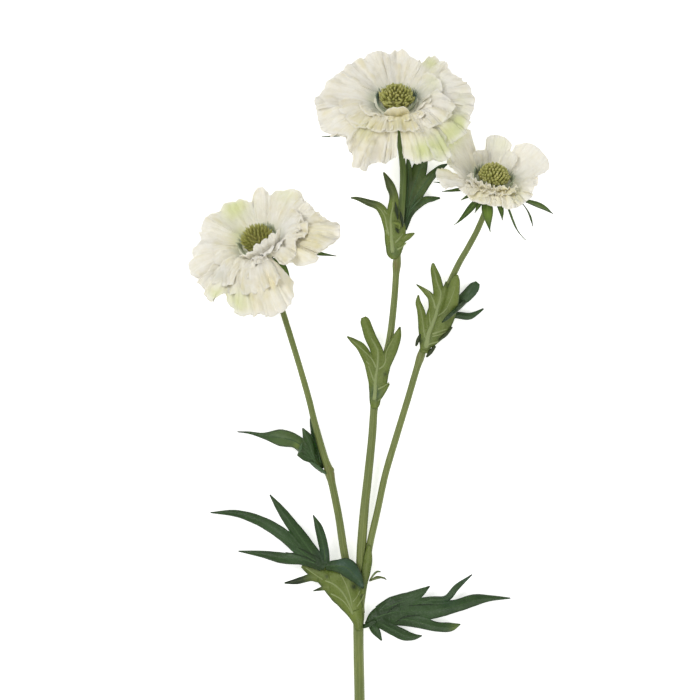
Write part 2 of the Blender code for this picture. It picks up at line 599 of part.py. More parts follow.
def stem(finish):
    main = tube("stem", MAIN_RUN + neck_points(TOP_HEAD, 1.45))
    runs = [tube("left_run", LEFT_RUN + neck_points(LEFT_HEAD, 1.4)),
            tube("right_run", RIGHT_RUN + neck_points(SIDE_HEAD, 1.35))]
    runs += [joint(*place) for place in STEM_JOINTS]
    whole = fuse("stem", main, runs, finish, "EXACT")
    settle(whole.data)
    whole.data.shade_smooth()
    return whole


def leaf(name, lobes, finish):
    # lobes are drawn in plan, joined in plan, lifted to height and given thickness
    plan = []
    loops = []
    middles = []
    samples = []
    for lobe in lobes:
        left = []
        right = []
        for k in range(LEAF_STATIONS):
            t = k / (LEAF_STATIONS - 1)
            place = spline_point(lobe, t)
            ahead = spline_point(lobe, min(1, t + 0.02))
            behind = spline_point(lobe, max(0, t - 0.02))
            run = Vector((ahead.x - behind.x, ahead.y - behind.y)).normalized()
            side = Vector((-run.y, run.x)) * place.w
            middle = Vector((place.x, place.y))
            left.append(middle + side)
            right.append(middle - side)
            if 0 < t < 1:
                middles.append(middle)
        loops.append([len(plan) + k for k in range(2 * LEAF_STATIONS)])
        plan += right + left[::-1]
        samples.append([spline_point(lobe, k / 30) for k in range(31)])
    points, _, faces, _, _, owners = delaunay_2d_cdt(plan + middles, [], loops, 0, 0.01)
    bm = bmesh.new()
    verts = [bm.verts.new((p.x, p.y, leaf_height(samples, p))) for p in points]
    for face, owner in zip(faces, owners):
        if owner:
            bm.faces.new([verts[k] for k in face])
    loose = [v for v in bm.verts if not v.link_faces]
    bmesh.ops.delete(bm, geom=loose, context="VERTS")
    bmesh.ops.translate(bm, vec=Vector((0, 0, LEAF_THICKNESS / 2)), verts=bm.verts)
    under = bmesh.ops.extrude_face_region(bm, geom=list(bm.faces), use_keep_orig=True)
    sunk = [item for item in under["geom"] if isinstance(item, bmesh.types.BMVert)]
    bmesh.ops.translate(bm, vec=Vector((0, 0, -LEAF_THICKNESS)), verts=sunk)
    made = mesh_object(name, bm, finish)
    settle(made.data)
    return made


def leaf_height(samples, point):
    # height from the lobes near a point, a little higher along each lobe's middle
    total = 0
    weight = 0
    for line in samples:
        near = min(line, key=lambda s: (s.x - point.x) ** 2 + (s.y - point.y) ** 2)
        away = math.hypot(near.x - point.x, near.y - point.y) / max(near.w, 0.4)
        share = 1 / (0.15 + away ** 2) ** 2
        total += share * (near.z - LEAF_KEEL * near.w * min(away, 1) ** 2)
        weight += share
    return total / weight


def build():
    clear_scene()
    petal_cream = material("petal_cream", (0.86, 0.83, 0.68), 0.6)
    disc_olive = material("disc_olive", (0.24, 0.24, 0.06), 0.7)
    awn_grey_green = material("awn_grey_green", (0.08, 0.14, 0.11), 0.6)
    calyx_green = material("calyx_green", (0.10, 0.19, 0.05), 0.6)
    stem_green = material("stem_green", (0.21, 0.26, 0.08), 0.55)
    leaf_light = material("leaf_light_green", (0.18, 0.27, 0.06), 0.6)
    leaf_dark = material("leaf_dark_green", (0.04, 0.11, 0.04), 0.6)
    stem(stem_green)
    for head in HEADS:
        petals(head, petal_cream)
        disc(head, disc_olive)
        awn_ring(head, awn_grey_green)
        calyx(head, calyx_green)
    for name, lobes in LEAVES.items():
        leaf(name, lobes, leaf_dark if name in DARK_LEAVES else leaf_light)


build()
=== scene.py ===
import math
import random

import bpy
from mathutils import Matrix, Vector, kdtree, noise
from mathutils.geometry import delaunay_2d_cdt


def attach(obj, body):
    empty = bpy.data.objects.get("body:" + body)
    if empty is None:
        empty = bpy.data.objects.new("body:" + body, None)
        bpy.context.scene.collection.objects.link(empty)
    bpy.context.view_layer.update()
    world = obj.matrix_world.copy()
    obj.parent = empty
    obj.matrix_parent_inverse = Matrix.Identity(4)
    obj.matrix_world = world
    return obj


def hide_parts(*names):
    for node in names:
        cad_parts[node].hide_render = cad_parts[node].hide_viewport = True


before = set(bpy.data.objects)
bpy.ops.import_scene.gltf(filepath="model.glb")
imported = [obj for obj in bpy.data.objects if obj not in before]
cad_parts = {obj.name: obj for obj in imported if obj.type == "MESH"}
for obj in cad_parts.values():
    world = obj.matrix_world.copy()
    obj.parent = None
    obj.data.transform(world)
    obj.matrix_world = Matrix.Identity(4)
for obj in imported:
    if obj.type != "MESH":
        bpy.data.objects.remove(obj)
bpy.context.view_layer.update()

mm = 0.001
print("frame loaded")


# small helpers for shapes

def smooth(low, high, value):
    t = min(1, max(0, (value - low) / (high - low)))
    return t * t * (3 - 2 * t)


def mix(a, b, t):
    return a + (b - a) * t


def bend(start, middle, end, t):
    return start * (1 - t) ** 2 + middle * 2 * t * (1 - t) + end * t ** 2


def wobble(seed, x, y=0.0, z=0.0):
    # smooth noise from -1 to 1
    return noise.noise(Vector((x + 17.3 * seed, y - 9.1 * seed, z + 4.7 * seed)))


def splinePoint(points, t):
    # smooth curve through the points, t from 0 to 1
    last = len(points) - 1
    place = min(max(t, 0), 1) * last
    i = min(int(place), last - 1)
    f = place - i
    p1, p2 = Vector(points[i]), Vector(points[i + 1])
    p0 = Vector(points[i - 1]) if i else 2 * p1 - p2
    p3 = Vector(points[i + 2]) if i + 2 <= last else 2 * p2 - p1
    return 0.5 * (2 * p1 + (p2 - p0) * f + (2 * p0 - 5 * p1 + 4 * p2 - p3) * f ** 2
                  + (3 * p1 - p0 - 3 * p2 + p3) * f ** 3)


def newShape(*marks):
    # points, faces and named numbers for each point, gathered before a mesh is made
    return {"points": [], "faces": [], "marks": {name: [] for name in marks}}


def addPoint(shape, place, **marks):
    shape["points"].append(place)
    for name, values in shape["marks"].items():
        values.append(marks.get(name, 0.0))
    return len(shape["points"]) - 1


def addBlade(shape, rows, thickness, marks):
    # a thin closed blade from rows of middle points; marks(j, i) gives each point's numbers
    rowCount, columnCount = len(rows), len(rows[0])
    front, back = [], []
    for j in range(rowCount):
        front.append([])
        back.append([])
        for i in range(columnCount):
            along = rows[min(j + 1, rowCount - 1)][i] - rows[max(j - 1, 0)][i]
            across = rows[j][min(i + 1, columnCount - 1)] - rows[j][max(i - 1, 0)]
            normal = across.cross(along)
            if normal.length < 1e-9:
                normal = Vector((0, 0, 1))
            normal = normal.normalized() * thickness / 2
            front[j].append(addPoint(shape, rows[j][i] + normal, **marks(j, i)))
            back[j].append(addPoint(shape, rows[j][i] - normal, **marks(j, i)))
    for j in range(rowCount - 1):
        for i in range(columnCount - 1):
            corners = ((j, i), (j, i + 1), (j + 1, i + 1), (j + 1, i))
            shape["faces"].append(tuple(front[m][n] for m, n in corners))
            shape["faces"].append(tuple(back[m][n] for m, n in (corners[0], *corners[:0:-1])))
    rim = [(0, i) for i in range(columnCount)] + [(j, columnCount - 1) for j in range(1, rowCount)]
    rim += [(rowCount - 1, i) for i in range(columnCount - 2, -1, -1)]
    rim += [(j, 0) for j in range(rowCount - 2, 0, -1)]
    for (j, i), (m, n) in zip(rim, rim[1:] + rim[:1]):
        shape["faces"].append((front[j][i], back[j][i], back[m][n], front[m][n]))


def addTube(shape, path, radii, sides, marks=None, ribs=0, ribDepth=0.0):
    # a closed round tube along the path, with optional shallow ribs
    rings = []
    normal = None
    for j, place in enumerate(path):
        ahead = path[min(j + 1, len(path) - 1)] - path[max(j - 1, 0)]
        ahead = ahead.normalized()
        if normal is None:
            normal = ahead.orthogonal().normalized()
        normal = (normal - ahead * normal.dot(ahead)).normalized()
        other = ahead.cross(normal)
        ring = []
        for k in range(sides):
            angle = math.tau * k / sides
            radius = radii[j] + ribDepth * math.cos(ribs * angle)
            side = normal * math.cos(angle) + other * math.sin(angle)
            numbers = marks(j, k) if marks else {}
            ring.append(addPoint(shape, place + side * radius, **numbers))
        rings.append(ring)
    for a, b in zip(rings, rings[1:]):
        for k in range(sides):
            m = (k + 1) % sides
            shape["faces"].append((a[k], a[m], b[m], b[k]))
    for j in (0, len(path) - 1):
        centre = addPoint(shape, Vector(path[j]), **(marks(j, 0) if marks else {}))
        for k in range(sides):
            pair = (rings[j][(k + 1) % sides], rings[j][k])
            shape["faces"].append((centre, *(pair[::-1] if j else pair)))


def addTurned(shape, profile, sides, ribs=0, ribDepth=0.0, **numbers):
    # a solid turned round Z from (radius, height) points that start and end on the axis
    first = addPoint(shape, Vector((0, 0, profile[0][1])), **numbers)
    last = addPoint(shape, Vector((0, 0, profile[-1][1])), **numbers)
    rings = []
    for radius, height in profile[1:-1]:
        ring = []
        for k in range(sides):
            angle = math.tau * k / sides
            reach = radius + ribDepth * math.cos(ribs * angle) * min(1, radius / 6)
            ring.append(addPoint(shape, Vector((reach * math.cos(angle), reach * math.sin(angle), height)),
                                 **numbers))
        rings.append(ring)
    for a, b in zip(rings, rings[1:]):
        for k in range(sides):
            m = (k + 1) % sides
            shape["faces"].append((a[k], a[m], b[m], b[k]))
    for k in range(sides):
        m = (k + 1) % sides
        shape["faces"].append((first, rings[0][m], rings[0][k]))
        shape["faces"].append((last, rings[-1][k], rings[-1][m]))


def moveShape(shape, matrix):
    shape["points"] = [matrix @ point for point in shape["points"]]


def lifted(point, margin=0.15, softness=0.5):
    # what would reach below the surface flattens onto it instead
    above = point.z - margin
    point.z = margin + (above + math.sqrt(above ** 2 + softness)) / 2
    return point


def makePiece(name, shape, material, slot, *nodes):
    # the gathered shape becomes a smooth mesh in metres that stands for its CAD nodes
    mesh = bpy.data.meshes.new(name)
    mesh.from_pydata([p * mm for p in shape["points"]], [], shape["faces"])
    for mark, values in shape["marks"].items():
        layer = mesh.attributes.new(mark, "FLOAT", "POINT")
        layer.data.foreach_set("value", values)
    mesh.materials.append(material)
    mesh.shade_smooth()
    piece = bpy.data.objects.new(name, mesh)
    bpy.context.scene.collection.objects.link(piece)
    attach(piece, "root")
    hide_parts(*nodes)
    mesh.calc_loop_triangles()
    print(name, len(mesh.loop_triangles), "triangles")
    return piece


# small helpers for materials

def colour(hexCode):
    # sRGB hex to the linear colour that the shaders take
    parts = [int(hexCode[k:k + 2], 16) / 255 for k in (1, 3, 5)]
    return (*[c / 12.92 if c <= 0.04045 else ((c + 0.055) / 1.055) ** 2.4 for c in parts], 1)


def addNode(tree, kind, inputs=None, output=0, **settings):
    # one node with its settings; an input takes another node's output, a hex colour or a plain value
    node = tree.nodes.new(kind)
    for key, value in settings.items():
        setattr(node, key, value)
    for key, value in (inputs or {}).items():
        if isinstance(value, bpy.types.NodeSocket):
            tree.links.new(value, node.inputs[key])
        else:
            node.inputs[key].default_value = colour(value) if isinstance(value, str) else value
    return node.outputs[output]


def newMaterial(name, **shaderValues):
    # a material with its plain values, and the places on its object in millimetres
    material = bpy.data.materials.new(name)
    material.use_nodes = True
    tree = material.node_tree
    shader = tree.nodes["Principled BSDF"]
    for key, value in shaderValues.items():
        shader.inputs[key.replace("_", " ")].default_value = value
    metres = addNode(tree, "ShaderNodeTexCoord", output="Object")
    place = addNode(tree, "ShaderNodeVectorMath", {0: metres, 1: (1 / mm, 1 / mm, 1 / mm)},
                    operation="MULTIPLY")
    return material, tree, shader, place


def layered(tree, ground, layers):
    # lays tints over a ground colour. Each layer: tint, what it follows (a pattern or the name of a
    # mark on the points), the range of that, the strengths at its ends, and a mark that limits it
    for tint, guide, low, high, weak, strong, *limits in layers:
        if isinstance(guide, str):
            guide = addNode(tree, "ShaderNodeAttribute", output="Fac", attribute_name=guide)
        share = addNode(tree, "ShaderNodeMapRange", {0: guide, 1: low, 2: high, 3: weak, 4: strong})
        for limit in limits:
            within = addNode(tree, "ShaderNodeAttribute", output="Fac", attribute_name=limit)
            share = addNode(tree, "ShaderNodeMath", {0: within, 1: share}, operation="MULTIPLY")
        ground = addNode(tree, "ShaderNodeMix", {0: share, 6: ground, 7: tint}, 2, data_type="RGBA")
    return ground


def coat(tree, shader, base, relief, strength, depth):
    # gives the shader its colour and a fine relief, whose depth is in millimetres
    tree.links.new(base, shader.inputs["Base Color"])
    bump = addNode(tree, "ShaderNodeBump", {"Strength": strength, "Distance": depth * mm, "Height": relief})
    tree.links.new(bump, shader.inputs["Normal"])


# the blooms' places and petals, on the same heads as the solids have
# azimuths are in degrees round the head: 90 is the side that lies down, 270 faces the stem
# outer: azimuth, height of the tip, arch on the way; inner: azimuth, reach, height of the tip, arch
# margin: azimuth and reach of the outer tier's edge, with its notches
# outerFan and innerFan, for each petal: azimuth, half angle, roundness, ruffle, cup, crumple, height
# over the tier's root
# loose, petals with a shape of their own: azimuth, half angle, reach, height of the tip, arch,
# roundness, ruffle, cup, crumple
# bracts: azimuth, reach, height, half width, place of the widest part, turn at the root, turn midway
heads = {
    "topBloom": {
        "node": "top_bloom", "centre": (12.6, 153.6, 19.6), "lean": 0, "tilt": 45,
        "outer": ((102, 6, 3), (79, 5, 2), (52, 5, 3), (24, 2, 4), (-3, -2, 4), (-23, -5, 5),
                  (-41, -9, 6), (-64, -13, 6), (257, -13, 5), (239, -15, 5), (207, -3, 3), (181, -1, 3),
                  (154, 2, 3), (127, 5, 3)),
        "inner": ((239, 25.6, 1, 6), (272, 23.8, 2, 6), (306, 26.2, 1, 6), (330, 29.6, 1.6, 7),
                  (212, 29.6, 1.4, 6), (26, 24, 6, 3)),
        "margin": ((4, 38.8), (17, 37.7), (26, 37.3), (37, 33.4), (45, 35.7), (54, 34.4), (60, 31.8),
                   (62, 27.3), (66, 29), (75, 30.4), (84, 33.3), (90, 32.6), (97, 29.4), (103, 32.6),
                   (115, 32.9), (124, 31.6), (133, 32.7), (141, 34), (152, 35.8), (169, 38.4),
                   (178, 41.2), (184, 40.4), (195, 41.6), (204, 41.9), (211, 40.2), (215, 36.2),
                   (219, 32.7), (222, 33.9), (229, 34.2), (237, 38), (245, 38), (251, 31.6),
                   (263, 30.4), (271, 29.6), (278, 28.2), (286, 32.6), (293, 33), (300, 35.2),
                   (307, 38.6), (309, 40.3), (314, 38), (321, 34.2), (328, 36.4), (335, 38.3),
                   (343, 36.9), (349, 37.6), (356, 39)),
        "outerFan": ((80, 24, 0.02, 0.6, 1.0, 0.15, 0.6), (118, 28, 0.03, 0.6, 1.2, 0.15, 0),
                     (160, 29, 0.02, 0.5, -1.2, 0.15, 0.6), (196, 26, 0.02, 0.7, 1.4, 0.2, 0),
                     (234, 24, 0.03, 1.5, 1.8, 0.45, -0.6), (254.5, 16, 0.06, 1.3, 1.0, 0.35, 0.5),
                     (298, 22, 0.1, 1.5, 1.4, 0.45, -0.4), (325, 23, 0.02, 1.3, 1.2, 0.45, 0.6),
                     (354, 25, 0.02, 0.8, -1.0, 0.3, 0), (21, 23, 0.03, 0.7, 1.2, 0.2, 0.6),
                     (50, 14, 0.06, 0.9, 2.0, 0.2, 1.6)),
        "innerFan": ((203, 27, 0.2, 0.9, 2.4, 0.15, 0.6), (234, 31, 0.08, 1.6, 1.0, 0.25, 0),
                     (268, 31, 0.07, 1.9, 0.6, 0.25, 0.8), (305, 32, 0.08, 1.7, 1.0, 0.25, 0.2),
                     (338, 27, 0.16, 1.2, 2.0, 0.2, 0.9), (24, 23, 0.26, 0.8, 2.0, 0.15, 0)),
        "loose": ((270, 36, 12.8, 7.2, 3.0, 0.92, 0.12, 0, 0.1),
                  (216, 25, 21, 4.6, 4.4, 0.3, 0.8, 1.4, 0.15),
                  (246, 27, 19.4, 3.0, 4.4, 0.12, 2.2, 0.4, 0.25),
                  (286, 29, 18.8, 2.8, 4.4, 0.12, 2.5, 0.4, 0.3),
                  (318, 22, 20.6, 4.0, 4.4, 0.2, 1.5, 1.0, 0.2),
                  (331, 11, 16.6, 5.2, 3.4, 0.6, 0.5, 1.0, 0.1),
                  (345, 8, 18.4, 5.6, 3.2, 0.7, 0.3, 0.9, 0.1),
                  (357, 6, 17.4, 5.6, 3, 0.8, 0.2, 0.7, 0.1)),
        "bracts": ((205, 42.8, -7.3, 1.5, 0.5, 14, 17), (250, 20, -9, 2, 0.5, 0, 4),
                   (290, 20, -9, 2, 0.5, 3, -4), (330, 22, -8, 2, 0.5, 0, 5),
                   (15, 20, -7, 2, 0.5, 3, 0), (60, 17, -5.5, 1.9, 0.5, 0, 4),
                   (105, 17, -5.5, 1.9, 0.5, 0, 0), (150, 19, -6.5, 2, 0.5, -3, 2)),
        "florets": {"count": 118, "radius": 0.64, "length": 4.5, "hook": 2.8, "taper": 0.85,
                    "sway": 1.7, "lift": 0.55},
    },
    "leftBloom": {
        "node": "left_bloom", "centre": (-58.4, 81.0, 20.4), "lean": 28, "tilt": 48,
        "outer": ((104, 6, 3), (82, 6, 2), (64.5, 7.5, 4), (40, 5, 3), (15, 3, 3), (-8, 1, 4),
                  (-25, -4, 4), (-54, -5, 4), (-96, -13, 5), (249, -13, 5), (229, -11, 5), (205, -6, 4),
                  (186, -2, 4), (167, 0, 3), (144, 3, 3), (122, 5, 3)),
        "inner": ((262, 20, 3.4, 6), (296, 27, 0.6, 6), (320, 23.6, 4, 5), (199, 24, 2.4, 6),
                  (226, 27.8, 0, 6), (345, 26, 5, 4)),
        "margin": ((13, 30.2), (20, 32.4), (26, 33.7), (36, 34), (48, 30.7), (52, 26), (56, 29),
                   (64, 32.3), (71, 30.6), (76, 25.6), (80, 27.5), (88, 30), (99, 32.6), (110, 32.5),
                   (121, 35.2), (134, 34.6), (142, 32.7), (153, 35.7), (164, 38.5), (173, 38.5),
                   (182, 35.6), (196, 36.9), (203, 39.2), (206, 38.4), (209, 31.5), (213, 31.7),
                   (219, 36.2), (227, 38.5), (234, 38.9), (247, 38.2), (257, 40.7), (266, 39.6),
                   (273, 36), (278, 25.5), (283, 15.4), (292, 16), (297, 22.5), (301, 30.6),
                   (308, 34.8), (317, 32.8), (323, 37.4), (328, 41.4), (334, 43), (340, 42),
                   (346, 38.8), (351, 34.6), (360, 32.9), (366, 32.4)),
        "outerFan": ((64, 13, 0.26, 0.3, 1.8, 0.1, 1.2), (34, 24, 0.04, 0.4, 1.8, 0.15, 0.2),
                     (98, 23, 0.04, 0.5, 1.4, 0.15, 0), (129, 21, 0.03, 0.6, 1.4, 0.2, 0.6),
                     (163, 26, 0.02, 0.7, 1.8, 0.2, 0), (194, 19, 0.02, 0.9, 1.2, 0.25, 0.6),
                     (229, 21, 0.05, 1.2, 1.4, 0.25, 0), (259, 20, 0.05, 1.2, 1.6, 0.2, 0.6),
                     (312, 18, 0.04, 1.0, 1.4, 0.25, 0), (336, 20, 0.03, 1.2, 1.2, 0.3, 0.8),
                     (2, 23, 0.03, 0.8, 1.4, 0.2, 0.2)),
        "innerFan": ((182, 28, 0.12, 0.8, 2.4, 0.15, 0.2), (214, 30, 0.08, 1.2, 2.4, 0.2, 0.9),
                     (243, 28, 0.08, 1.5, 2.2, 0.25, 0), (296, 16, 0.12, 1.3, 1.6, 0.25, 0.8),
                     (319, 22, 0.12, 1.6, 1.8, 0.25, 0), (345, 24, 0.14, 1.4, 2.2, 0.2, 1.0)),
        "loose": ((224, 13, 15.2, 6.6, 4.6, 0.5, 0.4, 0.7, 0.08),
                  (243, 13, 14.8, 9, 5, 0.45, 0.45, 0.7, 0.08),
                  (262, 13, 14.6, 10.8, 5.4, 0.42, 0.5, 0.7, 0.08),
                  (281, 13, 14.8, 11.8, 5.4, 0.42, 0.5, 0.7, 0.08),
                  (300, 13, 15, 11.2, 5.2, 0.42, 0.5, 0.7, 0.08),
                  (318, 12, 15.2, 9.8, 4.8, 0.45, 0.5, 0.7, 0.08),
                  (254, 17, 18.8, 6.6, 5.4, 0.3, 0.8, 1.0, 0.12),
                  (276, 16, 19.2, 7.4, 5.4, 0.3, 0.9, 1.0, 0.12),
                  (299, 16, 19.4, 7, 5.2, 0.3, 0.9, 1.0, 0.12),
                  (243, 30, 31.6, -3.8, 8, 0.08, 2.0, 2.4, 0.25),
                  (334, 19, 28, 3.6, 6, 0.2, 1.3, 1.4, 0.2), (203, 20, 31, -1, 7, 0.14, 1.4, 2.6, 0.2),
                  (355, 17, 25, 4.6, 5, 0.2, 1.1, 1.2, 0.15)),
        "bracts": ((-78, 26, -10, 2.4, 0.5, -4, 5), (-39.5, 41.5, -10, 1.4, 0.6, 6, -3),
                   (214.5, 34, -13, 1.5, 0.55, 0, 3), (0, 20, -7, 2, 0.5, 0, 3),
                   (45, 17, -5.5, 1.9, 0.5, 0, 3), (95, 17, -5.5, 1.9, 0.5, 0, 0),
                   (140, 19, -6.5, 2, 0.5, 2, -3), (180, 20, -7, 2, 0.5, 0, 3)),
        "florets": {"count": 92, "radius": 0.86, "length": 4.4, "hook": 0.3, "taper": 0.25,
                    "sway": 0.35, "lift": 1.0},
    },
    "sideBloom": {
        "node": "side_bloom", "centre": (62.6, 112.9, 14.2), "lean": -11.5, "tilt": 55,
        "loose": ((93, 20, 21.8, 13, 4, 0.1, 0.5, 1.6, 0.15), (37, 34, 28, 12, 4, 0.26, 0.3, -2.0, 0.1),
                  (-8, 21, 22.5, 5, 4, 0.1, 0.7, 1.2, 0.2),
                  (-34, 18, 23.2, 1.5, 4, 0.12, 0.8, 1.0, 0.3),
                  (-56, 16, 23.4, -0.6, 5, 0.12, 0.9, 0.8, 0.4),
                  (-80, 17, 20.6, -1.2, 5, 0.12, 0.9, 0.8, 0.45),
                  (253, 18, 21.4, -1.2, 5, 0.12, 0.9, 0.8, 0.45),
                  (229, 17, 21.5, 0.4, 5, 0.12, 0.8, 1.0, 0.4),
                  (206, 17, 31, 3.6, 5, 0.2, 1.0, 1.6, 0.3), (184, 19, 25, 8, 5, 0.2, 0.6, 1.8, 0.2),
                  (156, 29, 29.5, 15, 6, 0.08, 0.5, 2.0, 0.15),
                  (121, 20, 17.6, 7, 4, 0.12, 0.5, 1.0, 0.15),
                  (67, 14, 18, 8.5, 3, 0.2, 0.4, 1.0, 0.15),
                  (214, 15, 14.4, 5.6, 4, 0.4, 1.5, 0.5, 0.6),
                  (232, 14, 13.8, 5.8, 4, 0.4, 1.7, 0.4, 0.7),
                  (250, 13, 13.4, 5, 4, 0.4, 1.8, 0.3, 0.8),
                  (266, 12, 13.2, 4.4, 4, 0.4, 1.9, 0.3, 0.8),
                  (283, 12, 13.2, 5.2, 4, 0.4, 1.9, 0.3, 0.8),
                  (300, 13, 13.8, 5.8, 4, 0.4, 1.7, 0.4, 0.7),
                  (318, 14, 14.8, 5.6, 4, 0.4, 1.6, 0.5, 0.6),
                  (224, 17, 17, 3.4, 4, 0.3, 1.9, 0.5, 0.8),
                  (244, 16, 16.6, 2.4, 4, 0.3, 2.1, 0.4, 0.9),
                  (264, 15, 16.4, 1.8, 4, 0.3, 2.1, 0.4, 0.9),
                  (284, 15, 16.6, 2.2, 4, 0.3, 2.1, 0.4, 0.9),
                  (305, 16, 17.4, 3, 4, 0.3, 1.9, 0.5, 0.8)),
        "bracts": ((191, 30.5, -4, 1.5, 0.5, 2, -3), (199, 26.5, -7, 1.3, 0.5, 0, 3),
                   (222, 19.5, -7, 1.1, 0.5, 0, 0), (240, 31, -14, 1.9, 0.42, 0, 5),
                   (252, 20, -9, 1.3, 0.5, 0, 0), (-82, 26, -14, 3.0, 0.42, -14, -8),
                   (-66, 21, -10, 1.6, 0.5, 0, 3), (-52, 36, -13, 0.62, 0.4, 14, -10),
                   (-40, 32, -9, 0.6, 0.8, 40, 14), (-16, 35, -6, 2.3, 0.66, 0, 6),
                   (30, 17, -5, 1.6, 0.5, 0, 3), (75, 15.5, -3.6, 1.6, 0.5, 0, 0),
                   (115, 15.5, -3.6, 1.6, 0.5, 0, 0), (155, 17, -5, 1.6, 0.5, 0, -3)),
        "florets": {"count": 118, "radius": 0.78, "length": 3.7, "hook": 0.5, "taper": 0.85,
                    "sway": 0.25, "lift": 1.25},
    },
}


def headFrame(head):
    lean = Matrix.Rotation(math.radians(head["lean"]), 4, "Z")
    tilt = Matrix.Rotation(-math.radians(head["tilt"]), 4, "X")
    return Matrix.Translation(head["centre"]) @ lean @ tilt


# petals

petalLook = {
    "thickness": 0.24,
    "steps": (46, 36),            # across and along a petal
    "looseSteps": (36, 25),       # the same for the short ones round the disc
    "shortReach": 20,             # a loose petal under this reach is a short one
    "fullReach": 26,              # a petal that reaches this far has the full ruffles
    "rootRadius": 11.3,
    "outerRoot": -2.6,
    "innerRoot": -0.6,
    "plate": ((0, -3.6), (9, -3.6), (11.6, -3.2), (12.2, -2.4), (12, -0.9), (11.2, -0.2), (8, 0), (0, 0)),
    "tierBlend": 12,              # degrees over which neighbours share one shape
    "lap": 0.03,                  # height per degree that lifts one side over the neighbour
    "frill": 1.45, "frillWidth": 9.0,
    "fineFrill": 0.7, "fineFrillWidth": 3.9,
    "edgeWave": 0.05,             # how far a ruffled margin comes and goes, as a share of its reach
    "pleat": 0.42, "pleatWidth": 6.4,
    "finePleat": 0.13, "finePleatWidth": 2.3,
    "crease": 0.26, "creaseWidth": 4.5, "fineCrease": 0.11, "fineCreaseWidth": 2.2,
    "crumple": 1.1, "crumpleSize": 4.2,
    "swell": 2.0, "swellSize": 11.0,
    "overhang": 0.035,            # how far the ruffled edge goes past the solid's
    "veinGap": 1.1,               # real veins are about 0.6 apart; these are coarser so that they show
    "veinsAlong": 2.6,            # how often the veins' noise changes from root to tip
}

# where the petals are tinged, and where painted shade and painted light are laid: x, y, reach of the tint,
# strength
petalTints = {
    "greenTint": ((30.2, 174.7, 4, 0.8), (31.7, 162.8, 5, 0.55), (27.1, 127.4, 7, 1.0),
                  (33.3, 124.8, 6, 0.9), (41, 137, 6, 0.7), (45, 142, 4, 0.6), (38, 133.8, 7, 0.5),
                  (44.7, 146.1, 5, 0.45), (46.8, 155.5, 4, 0.3), (-3.6, 138.3, 5, 0.35),
                  (-71.8, 99.3, 8, 0.9), (-44.7, 107.1, 6, 0.45), (-80.6, 53.6, 4.5, 0.8),
                  (-69.7, 49.4, 7, 0.75), (66.6, 133.1, 5, 0.45), (74.9, 105, 4, 0.4),
                  (-68.6, 84.7, 4.5, 0.55)),
    # painted warm shade: yellow cream laid in creases and under ruffled hems
    "warmFoldShade": ((14.6, 143.5, 7, 0.95), (-3.6, 140.9, 9, 0.65), (17, 134, 8, 0.35),
                 (-29.6, 84.2, 8, 0.7), (-67.6, 71.2, 6, 0.6), (-68.6, 82.7, 5, 0.6),
                 (-37.4, 74.9, 5, 0.35), (-52, 76, 6, 0.35), (61.4, 105.6, 7, 0.85),
                 (69.2, 108.7, 5, 0.7), (54, 105, 5, 0.6), (47, 120, 6, 0.55), (40, 140, 6, 0.3),
                 (-52, 58, 7, 0.35), (-76, 80, 6, 0.3)),
    "greyTint": ((1.6, 156.5, 4.5, 0.9), (23.2, 157, 4, 0.8), (0, 150.5, 4, 0.35),
                 (13.5, 139.6, 5, 0.35), (-79, 64, 4, 0.4), (-71, 85, 4, 0.25), (53, 118, 4.5, 0.5),
                 (76, 116, 4, 0.35)),
    # painted light: places whitened where the petals catch the light
    "paintedLight": ((61, 105, 7, 0.5), (-56.2, 76.4, 6.5, 0.9), (-47.5, 80.5, 5, 0.8), (-65.5, 71.5, 5, 0.7),
              (36.9, 159.6, 8, 0.5), (46.3, 118, 8, 0.55), (65, 129, 7, 0.5), (82.2, 121.7, 8, 0.6),
              (-83, 80, 8, 0.3), (-40, 90, 7, 0.3)),
    "speck": ((61, 106.5, 6, 1.0), (66, 106.5, 5, 0.8), (52, 116, 4, 0.4), (12, 150, 2, 0.4)),
}


def tintAt(places, point):
    # how strongly the listed places tint one point, from 0 to 1
    total = 0
    for x, y, reach, strength in places:
        total += strength * math.exp(-((point.x - x) ** 2 + (point.y - y) ** 2) / reach ** 2)
    return min(1, total)


def tierShape(tier, azimuth):
    # what a tier lists, blended smoothly from one azimuth to the next
    total = Vector([0] * (len(tier[0]) - 1))
    weight = 0
    for middle, *numbers in tier:
        away = (azimuth - middle + 180) % 360 - 180
        share = math.exp(-(away / petalLook["tierBlend"]) ** 2)
        total += share * Vector(numbers)
        weight += share
    return total / weight


def marginReach(margin, azimuth):
    # reach of the outermost edge at one azimuth, between its listed places
    for (a, reachA), (b, reachB) in zip(margin, margin[1:] + ((margin[0][0] + 360, margin[0][1]),)):
        where = (azimuth - a) % 360
        if where < b - a:
            return mix(reachA, reachB, smooth(0, b - a, where))
    return margin[-1][1]


def creased(seed, x, y, z):
    # sharp creases between soft hollows, from -1 to 1
    return 1 - 3.4 * abs(wobble(seed, x, y, z))


